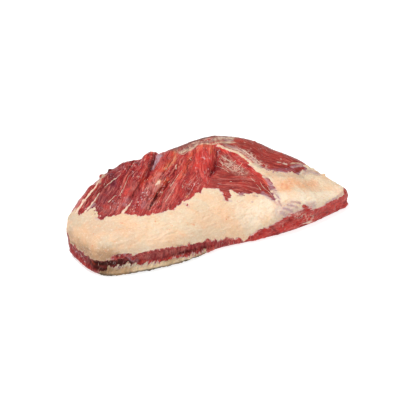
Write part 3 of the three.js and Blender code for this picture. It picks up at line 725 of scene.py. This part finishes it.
def muscle_grain(points, muscle):
    """Places across and along one muscle's grain, and the way of its fibres, in plan."""
    if "fan" in muscle:
        out = points[:, :2] - np.array(muscle["fan"])
        away = np.linalg.norm(out, axis=1)
        return np.stack([np.arctan2(out[:, 1], out[:, 0]) * FAN_RADIUS, away], 1), out / away[:, None]
    start, end = (np.array(p, float) for p in muscle["line"])
    along = (end - start) / np.linalg.norm(end - start)
    across = np.array([-along[1], along[0]])
    out = points[:, :2] - start
    return np.stack([out @ across, out @ along], 1), along


top_shares = muscle_shares(skin, MUSCLES)
side_shares = muscle_shares(skin, SIDES)
owner = top_shares.argmax(0)
grain = np.zeros_like(skin)  # each corner's place across and along its fibres, and its height
fibre_way = np.zeros_like(skin)
for number, muscle in enumerate(MUSCLES.values()):
    own = owner == number
    places, way = muscle_grain(skin[own], muscle)
    grain[own, :2] = places + number * GRAIN_APART
    fibre_way[own, :2] = way
grain[:, 0] += 5.0 * pattern(skin, 38.0, 20)  # so that the fibres bend a little
grain[:, 2] = skin[:, 2]
around = round_the_outline(skin)
zeros = np.zeros(len(skin))
sideways = on_side > 0.5
grain[sideways] = np.stack([around, skin[:, 2], zeros], 1)[sideways]
lengthways = sideways & (skin[:, 0] > RIGHT_WALL) & (skin[:, 1] < 0)
sloping = skin[:, 2] * 1.4 + 0.12 * around  # the front wall's fibres rise a little towards the right
grain[lengthways] = np.stack([sloping, around, zeros], 1)[lengthways]
fibre_way[sideways] = (0.0, 0.0, 1.0)
fibre_way -= (fibre_way * facing).sum(1)[:, None] * facing
fibre_way /= np.linalg.norm(fibre_way, axis=1)[:, None]


def from_muscles(key):
    """A muscle value at each corner: the top's muscles on top, and the sides' on the sides."""
    top, side = (
        shares.T @ np.array([linear(TONES[m[key]]) if key == "tone" else m[key] for m in muscles.values()])
        for shares, muscles in ((top_shares, MUSCLES), (side_shares, SIDES))
    )
    share = on_side if top.ndim == 1 else on_side[:, None]
    return top * (1 - share) + side * share


def painted(base, strokes, ragged):
    """The skin's colours with strokes over them: base is a tone's name, or a colour for each corner."""
    if isinstance(base, str):
        base = linear(TONES[base]) + np.zeros_like(skin)
    for tint, radius, strength, *line in strokes:
        share = strength * stroke_share(skin, radius, line, ragged)
        base = base + share[:, None] * (linear(TONES[tint]) - base)
    return base


def marked(strokes, ragged):
    """How strongly strokes without a tint mark each corner of the skin."""
    shares = [strength * stroke_share(skin, radius, line, ragged) for radius, strength, *line in strokes]
    return np.max(shares, axis=0)


# ---- Where the suet lies ----
# Patterns with three sizes have them across the grain, along it and up.
solids_away = {node: distance_to(node, skin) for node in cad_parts}
streaky = pattern(grain, (2.5, 12.0, 8.0), 1)
side_streaky = pattern(grain, (3.0, 16.0, 8.0), 3)
spiky = pattern(grain, (5.5, 18.0, 8.0), 33)
lobed = pattern(skin, 13.0, 2)
jagged = pattern(skin, 4.5, 16)

# The sheet: its edge in the solids, made ragged, with its tongues and without what strays off the seam.
lipped = on_side * (1 - smoothstep(*FOLD_END, skin[:, 0]))
raggedness = (1 - on_side) * (5.0 * streaky + 3.4 * lobed + 1.6 * jagged)
raggedness += (on_side - lipped) * (2.5 * side_streaky + 2.5 * jagged)
raggedness += lipped * (1.6 * lobed + 2.0 * jagged + 6.0 * spiky)
for reach, radius, *line in TONGUES:
    raggedness += reach * 2 * stroke_share(skin, radius, line, 0.5 * jagged)
cover_inside = solids_away["lean"] - solids_away["fat_cover"] + raggedness
seam_room = SEAM_HALF_WIDTH + 0.8 * jagged + 60 * (1 - smoothstep(*SEAM_FOOT, skin[:, 1]))
seam_room -= line_distance(skin, SEAM)
off_seam = (skin[:, 1] < SEAM_FOOT[0]) | (skin[:, 0] > SEAM_SPAN[1]) | (skin[:, 0] < SEAM_SPAN[0])
cover_inside = np.where(off_seam, cover_inside, np.minimum(cover_inside, seam_room))
cover_rim, cover_nearest = rim_distance(cover_inside, skin, edges)
lip = spread_over(edges, lipped, 4)[cover_nearest]

# The pad, with spikes of fat that run up between the fibres of the walls.
pad_ragged = 12.0 * pattern(grain, (2.6, 12.0, 8.0), 3) + 3.0 * jagged + 1.0
pad_ragged += 2.0 * smoothstep(*PAD_DEEPENING, skin[:, 0])
pad_inside = solids_away["lean"] - solids_away["fat_under"] + on_side * pad_ragged
pad_inside -= 12 * (1 - smoothstep(*PAD_LEFT_END, skin[:, 0]))
pad_top = np.interp(skin[:, 0], *zip(*PAD_TOP))
pad_room = 1.6 * (pad_top - skin[:, 2]) + 9.0 * pattern(grain, (2.2, 12.0, 8.0), 3) + 2.0 * jagged
pad_inside = np.where(sideways, np.minimum(pad_inside, pad_room), pad_inside)
pad_rim, _ = rim_distance(pad_inside, skin, edges)


def recess(rim, depth, sharp):
    """How deep the lean's surface lies under the suet, by the distance in from the suet's edge."""
    soft = smoothstep(-0.5, 10.0, rim)
    hard = smoothstep(-0.5, 2.5, rim)
    return depth * (soft * (1 - sharp) + hard * sharp)


def crown(rim, high, sharp):
    """How high the suet's outer surface stands over the skin, by the distance in from its edge: it
    crosses the skin at the edge and runs on under it."""
    soft = high * smoothstep(0.0, 7.0, rim)
    hard = (high + 1.2) * smoothstep(-0.5, 2.5, rim)
    return soft * (1 - sharp) + hard * sharp + 0.55 * np.minimum(rim, 0)


# ---- Lean ----
def scattered(cells, seed):
    """A number from 0 to 1 for each whole number, without any order but always the same."""
    return np.modf(np.abs(np.sin(cells * 12.9898 + seed * 78.233) * 43758.5453))[0]


def slashed_layers(width, length, bend, seed):
    """Layers that lap over each other like slates across the grain: each rises slowly and drops off at
    its edge, has a height of its own and tapers out along the grain. Also a number for each layer."""
    phase = grain[:, 0] / width + bend * pattern(grain, (2.2 * width, 1.3 * length, 40.0), seed)
    layer = np.floor(phase)
    share = phase - layer
    drop = 0.8  # where along its width a layer drops off
    slate = np.where(share < drop, (share / drop) ** 1.5, 1 - smoothstep(drop, 1.0, share))
    run = grain[:, 1] / length + scattered(layer, seed)
    run_share = run - np.floor(run)
    taper = smoothstep(0.0, 0.3, run_share) * (1 - smoothstep(0.65, 1.0, run_share))
    number = scattered(layer * 7 + np.floor(run), seed + 1)
    return (slate * (0.25 + 0.75 * taper) - 0.4) * (0.35 + 0.65 * number), (number - 0.5) * taper


broad_layers, broad_shade = slashed_layers(FLAP_WIDTH, 70.0, 0.7, 4)
fine_layers, fine_shade = slashed_layers(0.42 * FLAP_WIDTH, 34.0, 0.6, 5)
fascicles = 0.4 - np.abs(pattern(grain, FASCICLE, 6)) * 1.6
lumps = pattern(skin, 24.0, 15)
swells = pattern(skin, 12.0, 22)
knobbly = pattern(skin, 6.5, 7)
flap = from_muscles("flap")


def lean_relief():
    """How far the lean stands out of the skin: slashed layers, fibres, lumps and folds, low under suet."""
    relief = flap * (0.8 * broad_layers + 0.3 * fine_layers + 0.6 * lumps + 0.3 * knobbly)
    relief += 0.18 * fascicles + 0.15 * knobbly + on_side * (1.6 * lumps + 1.5 * swells + 1.0 * knobbly)
    for depth, radius, lip_height, *line in FOLDS:
        away = line_distance(skin, line) + 0.8 * jagged
        side = line_side(skin, line) * np.sign(lip_height)
        relief -= depth * np.exp(-((away / radius) ** 2))
        relief += abs(lip_height) * (side > 0) * np.exp(-((away - 4.0) / 3.5) ** 2)
    bare = (1 - smoothstep(-3.0, 2.0, cover_rim)) * (1 - smoothstep(-3.0, 3.0, pad_rim))
    return relief * (0.2 + 0.8 * bare) * (1 - underneath)


under_cover = recess(cover_rim, SUET_THICKNESS, lip)
under_pad = recess(pad_rim, PAD_SHELL, PAD_SHARPNESS)
lean_corners = skin + facing * (lean_relief() - under_cover - under_pad)[:, None]
lean_corners[:, 2] = np.maximum(lean_corners[:, 2], 0.3 * underneath)


def hollowness(corners, rounds):
    """How far each corner lies under the surface's mean around it, in millimetres."""
    return ((spread_over(edges, corners, rounds) - corners) * facing).sum(1)


ragged_edge = 2.6 * pattern(grain, (2.6, 12.0, 8.0), 8) + 2.4 * pattern(skin, 6.0, 9)
tone = from_muscles("tone") * (1 + 0.35 * broad_shade + 0.20 * fine_shade)[:, None]
for strokes, share in ((LEAN_STROKES, 1.0), (KNOTS, 0.6), (CLEFTS, 0.2)):
    tone = painted(tone, strokes, share * ragged_edge)
edge_away = np.maximum(cover_rim, pad_rim)  # distance to the nearest suet, negative on the bare lean
on_lean = smoothstep(2.0, 5.0, -edge_away) * (1 - underneath)
marble = from_muscles("marble")
# Strokes that hide the colours of the fibres under them.
hiding_strokes = [stroke for stroke in LEAN_STROKES if stroke[0] in ("lilac", "cream", "bark")] + KNOTS
edge_streaks = 0.68 - 0.2 * (skin[:, 0] < LEFT_END)
streak_reach = 2.5 + 2.0 * on_side + 2.5 * on_side * (skin[:, 0] > RIGHT_WALL)
lean_values = {
    "tone": tone,
    "fibre_way": fibre_way,
    "flecked": on_lean * marble * smoothstep(0.1, 0.6, pattern(skin, 15.0, 21)),
    "grain": grain,
    "marble": marble,
    "slashed": np.clip(flap / 1.6, 0, 1),
    "net": marked(NETS, ragged_edge),
    # where the painted glints are strongest
    "wet": marked(GLINT_STROKES, ragged_edge),
    "pale": marked([stroke[1:] for stroke in hiding_strokes], ragged_edge),
    # How hollow the lean is: made into painted shade in hollows and painted highlight on ridges.
    "crease_shading": np.clip(hollowness(lean_corners, 3) / 0.55, -1, 1),
    "valley_shading": np.clip(hollowness(lean_corners, 24) / 2.5, -1, 1),
    "streak_edge": edge_streaks * np.exp(np.minimum(edge_away, 0) / streak_reach),
    "dry": smoothstep(*DRY_BACK, skin[:, 1] + 0.25 * skin[:, 0]) * (1 - underneath),
}


# ---- Suet ----
def shell(rim, outer, inner):
    """A closed shell over the part of the skin that lies inside a rim: corners, faces, skin numbers."""
    used = (rim[quads] > -OVERLAP).all(1)
    own = np.unique(quads[used])
    number = np.full(len(skin), -1)
    number[own] = np.arange(len(own))
    top = number[quads[used]]
    count = len(own)
    sides = np.concatenate([top[:, [i, (i + 1) % 4]] for i in range(4)])
    key = np.sort(sides, axis=1) @ np.array([count, 1])
    _, first, times = np.unique(key, return_index=True, return_counts=True)
    border = sides[first[times == 1]]
    wall = np.stack([border[:, 1], border[:, 0], border[:, 0] + count, border[:, 1] + count], 1)
    corners = np.concatenate([outer[own], inner[own]])
    return corners, np.concatenate([top, top[:, ::-1] + count, wall]), np.concatenate([own, own])


def suet_shell(rim, thickness, proud, sharp, waves):
    """A shell of suet that stands proud of the skin, and runs on under the lean past its rim."""
    outer_height = crown(rim, proud, sharp) + waves
    inner_height = np.minimum(outer_height - 0.6, 0.3 - recess(rim, thickness, sharp))
    outer = skin + facing * outer_height[:, None]
    inner = skin + facing * inner_height[:, None]
    outer[:, 2] = np.maximum(outer[:, 2], 0)
    inner[:, 2] = np.maximum(inner[:, 2], 0.5)
    return shell(rim, outer, inner)


deep_in = smoothstep(0, 10, cover_rim)
# The suet's own grain: places along its fibres, across them and up.
suet_grain = skin @ np.array(((0.94, -0.34, 0.0), (0.34, 0.94, 0.0), (0.0, 0.0, 1.0)))
cover_waves = 1.3 * pattern(skin, 32.0, 10) + 0.7 * pattern(skin, 11.0, 11)
cover_waves += 0.5 * pattern(suet_grain, (14.0, 4.0, 4.0), 12)
cover_waves = deep_in * cover_waves + 0.5 * jagged
pad_waves = 0.8 * pattern(skin, (10.0, 10.0, 6.0), 14) + 1.0 * side_streaky


# ---- Materials ----
def add(tree, kind, inputs=None, **settings):
    """Adds a node with its settings; an input is a number or colour, another node, or an output of one."""
    made = tree.nodes.new(kind)
    for name, value in settings.items():
        setattr(made, name, value)
    for key, value in (inputs or {}).items():
        socket = made.inputs[key] if isinstance(key, int) else shown(made.inputs, key)
        if isinstance(value, bpy.types.Node):
            value = shown(value.outputs)
        if isinstance(value, bpy.types.NodeSocket):
            tree.links.new(value, socket)
        else:
            socket.default_value = value
    return made


def shown(sockets, name=None):
    """The first socket in use, of that name if one is given."""
    return next(s for s in sockets if s.enabled and name in (None, s.name))


def new_material(name):
    material = bpy.data.materials.new(name)
    material.use_nodes = True
    material.node_tree.nodes.clear()
    return material, material.node_tree


def colour(hex_code):
    return (*linear(hex_code), 1.0)


def grown_pattern(tree, vector, size, detail=3.0, roughness=0.55):
    """Noise along a vector in millimetres, its patches of that size: one number, or one for each way."""
    scale = [1 / s for s in np.broadcast_to(size, 3)]
    scaled = add(tree, "ShaderNodeVectorMath", {0: vector, 1: scale}, operation="MULTIPLY")
    return add(tree, "ShaderNodeTexNoise",
               {"Vector": scaled, "Scale": 1.0, "Detail": detail, "Roughness": roughness})


def paint(tree, base, coats):
    """Lays coats of colour over a base: by is what brings a coat out, between low and high, most its
    strongest share, and mask keeps it to its place."""
    for coat in coats:
        share = add(tree, "ShaderNodeMapRange",
                    {"Value": coat["by"], "From Min": coat["low"], "From Max": coat["high"],
                     "To Max": coat["most"]}, interpolation_type="SMOOTHSTEP")
        if "mask" in coat:
            share = add(tree, "ShaderNodeMath", {0: share, 1: coat["mask"]}, operation="MULTIPLY")
        base = add(tree, "ShaderNodeMix", {"Factor": share, "A": base, "B": colour(coat["tint"])},
                   data_type="RGBA")
    return base


def named_values(tree, *names):
    """The piece's own values, by name: numbers, or for grain and tone a vector."""
    outputs = {"grain": "Vector", "tone": "Vector"}
    return [add(tree, "ShaderNodeAttribute", attribute_name=n).outputs[outputs.get(n, "Fac")] for n in names]


def place_in_mm(tree):
    """Where the point is on the piece, in millimetres."""
    return add(tree, "ShaderNodeVectorMath",
               {0: add(tree, "ShaderNodeTexCoord").outputs["Object"], "Scale": 1 / MM}, operation="SCALE")


def away_from(tree, value, level):
    """How far a pattern is from a level: small along the level's contour lines."""
    out = add(tree, "ShaderNodeMath", {0: value, 1: level}, operation="SUBTRACT")
    return add(tree, "ShaderNodeMath", {0: out}, operation="ABSOLUTE")


def end_material(tree, base, height, strength, depth, values):
    """Ends a material with its colour, a bump so many millimetres deep, and the shader's own values."""
    bump = add(tree, "ShaderNodeBump", {"Height": height, "Strength": strength, "Distance": depth * MM})
    surface = add(tree, "ShaderNodeBsdfPrincipled", {"Base Color": base, "Normal": bump, **values})
    add(tree, "ShaderNodeOutputMaterial", {"Surface": surface})


def raw_beef():
    """Raw beef, cut with a knife: wet red fibres with a satin film, threads of fat between them, and
    lilac silverskin or cream fascia where they were left on. Its colour also holds painted glints, painted
    shade in its creases and valleys, and painted highlight on its ridges."""
    material, tree = new_material("raw_beef_knife_cut")
    grain_place, tone, crease_shading, valley_shading, slashed, marble, net_place, glint_marks, pale, edge, dry = named_values(
        tree, "grain", "tone", "crease_shading", "valley_shading", "slashed", "marble", "net", "wet", "pale", "streak_edge",
        "dry")
    place = place_in_mm(tree)
    bundle = grown_pattern(tree, grain_place, (8.0, 44.0, 16.0), 2.0)  # bundles of fibres
    fibre = grown_pattern(tree, grain_place, (1.6, 20.0, 8.0))  # real fibres are finer than would show
    vein = grown_pattern(tree, grain_place, (9.0, 50.0, 16.0))
    thread = grown_pattern(tree, grain_place, (2.0, 13.0, 6.0), 2.0)
    glint = grown_pattern(tree, grain_place, (1.7, 6.0, 4.0), 2.0)
    wet = grown_pattern(tree, place, 22.0, 2.0)
    mottle = grown_pattern(tree, place, 17.0)
    net = grown_pattern(tree, place, 9.0, roughness=0.65)
    fine = grown_pattern(tree, place, 2.4, roughness=0.6)
    streaks = add(tree, "ShaderNodeMath", {0: thread, 1: edge}, operation="ADD")
    bare = add(tree, "ShaderNodeMath", {0: 1.0, 1: pale}, operation="SUBTRACT", use_clamp=True)
    # Patches and strokes where glints are painted.
    glint_patch = add(tree, "ShaderNodeMapRange",
                    {"Value": wet, "From Min": 0.52, "From Max": 0.64, "To Max": 0.35})
    glint_place = add(tree, "ShaderNodeMath", {0: glint_patch, 1: glint_marks}, operation="ADD", use_clamp=True)
    broken = add(tree, "ShaderNodeMapRange", {"Value": thread, "From Min": 0.42, "From Max": 0.60})
    veined = add(tree, "ShaderNodeMath", {0: broken, 1: marble}, operation="MULTIPLY")
    base = paint(tree, tone, [
        dict(by=mottle, low=0.48, high=0.70, most=0.50, tint="#c4352c", mask=bare),
        dict(by=mottle, low=0.46, high=0.28, most=0.45, tint="#7a2430", mask=bare),
        dict(by=bundle, low=0.50, high=0.68, most=0.35, tint="#701a1e"),
        dict(by=bundle, low=0.46, high=0.30, most=0.25, tint="#d04c40", mask=bare),
        dict(by=fibre, low=0.50, high=0.68, most=0.52, tint="#5a1216"),
        dict(by=fibre, low=0.46, high=0.32, most=0.46, tint="#e88474", mask=bare),
        # Painted shade in the broad valleys, and painted highlight on the rises between them.
        dict(by=valley_shading, low=0.20, high=1.0, most=0.30, tint="#74121a"),
        dict(by=valley_shading, low=-0.2, high=-1.0, most=0.15, tint="#e2604e", mask=bare),
        dict(by=dry, low=0.0, high=1.0, most=0.30, tint="#7a4438"),
        dict(by=away_from(tree, vein, 0.58), low=0.025, high=0.006, most=0.60, mask=slashed, tint="#4e0f12"),
        dict(by=away_from(tree, vein, 0.47), low=0.025, high=0.006, most=0.60, mask=veined, tint="#e8b2a0"),
        # Painted shade in the sharp creases, and painted highlight on the crests.
        dict(by=crease_shading, low=0.25, high=1.0, most=0.60, tint="#560a10"),
        dict(by=crease_shading, low=-0.3, high=-1.0, most=0.40, tint="#f08a76", mask=bare),
        dict(by=away_from(tree, net, 0.5), low=0.06, high=0.015, most=0.95, mask=net_place, tint="#ecccb8"),
        # Painted glints: small white highlights, in the wet patches and along the glint strokes.
        dict(by=glint, low=0.60, high=0.66, most=0.90, mask=glint_place, tint="#f4e2e2"),
        dict(by=streaks, low=0.95, high=1.12, most=0.80, tint="#e0c0b8", mask=bare),
    ])
    height = add(tree, "ShaderNodeMath", {0: fibre, 1: fine}, operation="ADD")
    roughness = add(tree, "ShaderNodeMapRange",
                    {"Value": fine, "From Min": 0.3, "From Max": 0.7, "To Min": 0.22, "To Max": 0.5})
    end_material(tree, base, height, 1.0, 0.9, {
        "Roughness": roughness,
        "IOR": 1.38,
        "Specular IOR Level": 0.2,
        "Subsurface Weight": 0.12,
        "Subsurface Radius": (1.0, 0.28, 0.18),
        "Subsurface Scale": 1.2 * MM,
        "Coat Weight": 0.08,
        "Coat Roughness": 0.1,
    })
    return material


def suet(name, shade, blush, speckle):
    """Suet, trimmed with a knife: waxy cream fat with faint fibres, warm blotches, white grains and a
    satin sheen."""
    material, tree = new_material(name)
    grain_place, tone = named_values(tree, "grain", "tone")
    place = place_in_mm(tree)
    blotch = grown_pattern(tree, place, 34.0, 2.0)
    warm = grown_pattern(tree, place, 11.0)
    fibre = grown_pattern(tree, grain_place, (14.0, 3.0, 3.4))
    grainy = grown_pattern(tree, place, 3.0, 4.0, 0.65)
    dots = grown_pattern(tree, place, 5.5, 1.0)
    base = paint(tree, tone, [
        dict(by=blotch, low=0.42, high=0.70, most=0.45, tint=blush),
        dict(by=warm, low=0.52, high=0.75, most=0.40, tint=blush),
        dict(by=fibre, low=0.50, high=0.75, most=0.40, tint=shade),
        dict(by=grainy, low=0.52, high=0.72, most=0.45, tint=speckle),
        dict(by=grainy, low=0.46, high=0.30, most=0.35, tint=shade),
        dict(by=dots, low=0.72, high=0.78, most=0.55, tint="#d87058"),
    ])
    height = add(tree, "ShaderNodeMath", {0: fibre, 1: grainy}, operation="ADD")
    roughness = add(tree, "ShaderNodeMapRange",
                    {"Value": grainy, "From Min": 0.3, "From Max": 0.7, "To Min": 0.40, "To Max": 0.6})
    end_material(tree, base, height, 0.9, 1.3, {
        "Roughness": roughness,
        "IOR": 1.45,
        "Subsurface Weight": 0.25,
        "Subsurface Radius": (1.0, 0.6, 0.35),
        "Subsurface Scale": 1.6 * MM,
        "Specular IOR Level": 0.3,
    })
    return material


def fascia():
    """Fascia: thin pale strips of connective tissue, slightly see-through and wet, as they tear."""
    material, tree = new_material("fascia_torn")
    mottle = grown_pattern(tree, place_in_mm(tree), 5.0, 2.0)
    base = paint(tree, colour("#e8cbb2"), [
        dict(by=mottle, low=0.45, high=0.70, most=0.6, tint="#d09a8c"),
        dict(by=mottle, low=0.45, high=0.30, most=0.6, tint="#f4e4d2"),
    ])
    end_material(tree, base, mottle, 0.4, 0.5, {
        "Roughness": 0.4,
        "IOR": 1.42,
        "Subsurface Weight": 0.2,
        "Subsurface Radius": (1.0, 0.5, 0.4),
        "Subsurface Scale": 0.8 * MM,
    })
    return material


# ---- What geometry trees grow ----
def geometry_tree(name, *sizes):
    """A tree with a geometry in and out and an input for each size, and the node of its inputs."""
    tree = bpy.data.node_groups.new(name, "GeometryNodeTree")
    tree.interface.new_socket("Geometry", in_out="INPUT", socket_type="NodeSocketGeometry")
    tree.interface.new_socket("Geometry", in_out="OUTPUT", socket_type="NodeSocketGeometry")
    for size in sizes:
        tree.interface.new_socket(size, in_out="INPUT", socket_type="NodeSocketFloat")
    return tree, add(tree, "NodeGroupInput")


def end_tree(tree, geometry, material):
    """Realizes the instances and gives them their material."""
    plain = add(tree, "GeometryNodeRealizeInstances", {"Geometry": geometry})
    smooth = add(tree, "GeometryNodeSetShadeSmooth", {"Geometry": plain})
    finished = add(tree, "GeometryNodeSetMaterial", {"Geometry": smooth, "Material": material})
    add(tree, "NodeGroupOutput", {"Geometry": finished})


def grow(name, source, tree, sizes):
    """Runs a tree on a mesh or curve, and keeps what it makes as a plain mesh piece."""
    blank = new_object(name + "_blank", source)
    modifier = blank.modifiers.new("growth", "NODES")
    modifier.node_group = tree
    for socket in tree.interface.items_tree:
        if socket.in_out == "INPUT" and socket.name in sizes:
            modifier[socket.identifier] = sizes[socket.name]
    new_piece(name, mesh_made_by(blank))


def strand_lines():
    """The strands' lines high over the meat, with their half widths as radius, thin at the upper end."""
    lines = bpy.data.curves.new("strand_lines", "CURVE")
    lines.dimensions = "3D"
    for half_width, *line in STRANDS:
        spline = lines.splines.new("POLY")
        spline.points.add(len(line) - 1)
        for i, (point, (x, y)) in enumerate(zip(spline.points, line)):
            point.co = (x * MM, y * MM, 0.2, 1)
            point.radius = half_width * MM * (0.3 + 0.7 * min(1.0, 2 * i / (len(line) - 1)))
    return lines


def strand_tree(surface, material):
    """Lays each line down on a surface below it and gives it a low flat section."""
    tree, inputs = geometry_tree("strands_laid_down", "Step", "Flatness", "Sway")
    target = add(tree, "GeometryNodeObjectInfo", {"Object": surface})
    steps = add(tree, "GeometryNodeResampleCurve",
                {"Curve": inputs.outputs["Geometry"], "Length": inputs.outputs["Step"]}, mode="LENGTH")
    landing = add(tree, "GeometryNodeRaycast", {
        "Target Geometry": target.outputs["Geometry"],
        "Source Position": add(tree, "GeometryNodeInputPosition"),
        "Ray Direction": (0, 0, -1),
        "Ray Length": 1.0,
    })
    waver = add(tree, "ShaderNodeTexNoise", {"Scale": 1 / (9 * MM), "Detail": 2.0})
    sway = add(tree, "ShaderNodeVectorMath",
               {0: waver.outputs["Color"], 1: (1, 1, 0.25), 2: (-0.5, -0.5, -0.05)},
               operation="MULTIPLY_ADD")
    swayed = add(tree, "ShaderNodeVectorMath", {0: sway, "Scale": inputs.outputs["Sway"]}, operation="SCALE")
    laid = add(tree, "GeometryNodeSetPosition",
               {"Geometry": steps, "Position": landing.outputs["Hit Position"], "Offset": swayed})
    uneven = add(tree, "ShaderNodeMapRange",
                 {"Value": waver.outputs["Fac"], "From Min": 0.35, "From Max": 0.65, "To Min": 0.45,
                  "To Max": 1.3})
    radius = add(tree, "GeometryNodeInputRadius")
    width = add(tree, "ShaderNodeMath", {0: radius, 1: uneven}, operation="MULTIPLY")
    level = add(tree, "GeometryNodeSetCurveNormal", {"Curve": laid}, mode="Z_UP")
    round_section = add(tree, "GeometryNodeCurvePrimitiveCircle", {"Resolution": 8, "Radius": 1.0})
    flattening = add(tree, "ShaderNodeCombineXYZ", {"X": 1.0, "Y": inputs.outputs["Flatness"], "Z": 1.0})
    section = add(tree, "GeometryNodeTransform", {"Geometry": round_section, "Scale": flattening})
    strand = add(tree, "GeometryNodeCurveToMesh",
                 {"Curve": level, "Profile Curve": section, "Scale": width, "Fill Caps": True})
    end_tree(tree, strand, material)
    return tree


def fleck_tree(material):
    """Scatters slivers over a surface, where it is flecked and along its fibres."""
    tree, inputs = geometry_tree(
        "flecks_scattered", "Flecks per Square Metre", "Shortest", "Longest", "Thinnest", "Widest")
    flecked = add(tree, "GeometryNodeInputNamedAttribute", {"Name": "flecked"})
    density = add(tree, "ShaderNodeMath",
                  {0: flecked, 1: inputs.outputs["Flecks per Square Metre"]}, operation="MULTIPLY")
    points = add(tree, "GeometryNodeDistributePointsOnFaces",
                 {"Mesh": inputs.outputs["Geometry"], "Density": density, "Seed": 7})
    way = add(tree, "GeometryNodeInputNamedAttribute", {"Name": "fibre_way"}, data_type="FLOAT_VECTOR")
    turn = add(tree, "FunctionNodeAlignRotationToVector", {"Vector": way}, axis="Z")
    length = add(tree, "FunctionNodeRandomValue",
                 {"Min": inputs.outputs["Shortest"], "Max": inputs.outputs["Longest"], "Seed": 1})
    width = add(tree, "FunctionNodeRandomValue",
                {"Min": inputs.outputs["Thinnest"], "Max": inputs.outputs["Widest"], "Seed": 2})
    size = add(tree, "ShaderNodeCombineXYZ", {"X": width, "Y": width, "Z": length})
    sliver = add(tree, "GeometryNodeMeshIcoSphere", {"Radius": 1.0, "Subdivisions": 1})
    placed = add(tree, "GeometryNodeInstanceOnPoints",
                 {"Points": points.outputs["Points"], "Instance": sliver.outputs["Mesh"],
                  "Rotation": turn, "Scale": size})
    end_tree(tree, placed, material)
    return tree


# ---- Pieces ----
lean_meat = skin_piece("lean_meat", lean_corners, quads, lean_values, raw_beef(), "lean")

corners, faces, own = suet_shell(cover_rim, SUET_THICKNESS, 0.7, lip, cover_waves)
suet_tone = painted("fresh_suet", SUET_STROKES, ragged_edge)
skin_piece("suet_sheet", corners, faces, {"grain": suet_grain[own], "tone": suet_tone[own]},
           suet("suet_trimmed", "#d9a77c", "#f0bc90", "#fdf0dc"), "fat_cover")

corners, faces, own = suet_shell(pad_rim, PAD_SHELL, 0.6, PAD_SHARPNESS, pad_waves)
pad_tone = painted("old_suet", PAD_STROKES, ragged_edge) * (1 + 0.35 * side_streaky)[:, None]
# The pad turns olive-brown at its foot: the aged suet's own colour and painted shade near the floor.
foot_colour_and_shade = 1 - smoothstep(*PAD_FOOT, skin[:, 2] + 1.5 * lobed)
pad_tone += foot_colour_and_shade[:, None] * (linear(TONES["olive_brown"]) - pad_tone)
pad_grain = grain[:, (1, 0, 2)]
skin_piece("suet_pad", corners, faces, {"grain": pad_grain[own], "tone": pad_tone[own]},
           suet("suet_aged", "#6a4626", "#a8804e", "#cfae82"), "fat_under")

torn_fascia = fascia()
grow("fascia_strands", strand_lines(), strand_tree(lean_meat, torn_fascia),
     {"Step": 2.5 * MM, "Flatness": 0.4, "Sway": 4.0 * MM})
grow("fat_flecks", lean_meat.data, fleck_tree(torn_fascia), {
    "Flecks per Square Metre": 16000.0,
    "Shortest": 1.5 * MM,
    "Longest": 5.0 * MM,
    "Thinnest": 0.25 * MM,
    "Widest": 0.5 * MM,
})


# ---- Stage ----
# In metres.
FLOOR_HALF = 6.0
MEAT_MIDDLE = Vector((0, 0, 0.04))  # what the lights face
CAMERA_AIM = Vector((0, 0, 0.045))
CAMERA_AWAY = 1.587
CAMERA_AZIMUTH = math.radians(-17)
CAMERA_ELEVATION = math.radians(35)
CAMERA_SHIFT = (-0.01375, -0.01875)  # of the view, in shares of its width


def floor():
    """A plain white sweep, lit through from below round the middle as on a light table."""
    mesh = bpy.data.meshes.new("floor")
    corners = [(x * FLOOR_HALF, y * FLOOR_HALF, -0.5 * MM) for x, y in ((-1, -1), (1, -1), (1, 1), (-1, 1))]
    mesh.from_pydata(corners, [], [(0, 1, 2, 3)])
    material, tree = new_material("white_paper")
    place = add(tree, "ShaderNodeTexCoord").outputs["Object"]
    away = add(tree, "ShaderNodeVectorMath", {0: place}, operation="LENGTH").outputs["Value"]
    glow = add(tree, "ShaderNodeMapRange",
               {"Value": away, "From Min": 0.5, "From Max": 1.5, "To Min": 0.75, "To Max": 0.6})
    paper = add(tree, "ShaderNodeBsdfPrincipled", {
        "Base Color": colour("#bcbcbc"),
        "Roughness": 1.0,
        "Specular IOR Level": 0.0,
        "Emission Color": (1, 1, 1, 1),
        "Emission Strength": glow,
    })
    add(tree, "ShaderNodeOutputMaterial", {"Surface": paper})
    mesh.materials.append(material)
    new_object("floor", mesh)


def softbox(name, place, size, power):
    """A square soft light that faces the middle of the meat."""
    light = bpy.data.lights.new(name, "AREA")
    light.shape = "SQUARE"
    light.size = size
    light.energy = power
    made = new_object(name, light)
    made.location = place
    made.rotation_euler = (MEAT_MIDDLE - Vector(place)).to_track_quat("-Z", "Y").to_euler()


def daylight(strength):
    """An even white light from all round."""
    world = bpy.data.worlds.new("white_room")
    world.use_nodes = True
    background = world.node_tree.nodes["Background"]
    background.inputs["Color"].default_value = (1, 1, 1, 1)
    background.inputs["Strength"].default_value = strength
    bpy.context.scene.world = world


def camera():
    """A long lens that looks down on the front of the meat from a little to its left."""
    level = math.cos(CAMERA_ELEVATION)
    back = Vector((math.sin(CAMERA_AZIMUTH) * level, -math.cos(CAMERA_AZIMUTH) * level,
                   math.sin(CAMERA_ELEVATION)))
    lens = bpy.data.cameras.new("camera")
    lens.lens = 85
    lens.sensor_width = 36
    lens.shift_x, lens.shift_y = CAMERA_SHIFT
    lens.clip_start = 0.05
    made = new_object("camera", lens)
    made.location = CAMERA_AIM + back * CAMERA_AWAY
    made.rotation_euler = (-back).to_track_quat("-Z", "Y").to_euler()
    bpy.context.scene.camera = made


floor()
daylight(0.24)
softbox("key_softbox", place=(-0.7, 0.15, 2.8), size=0.8, power=66)
softbox("sparkle", place=(-0.2, -1.8, 2.4), size=0.25, power=24)
camera()
bpy.context.scene.view_settings.view_transform = "Standard"
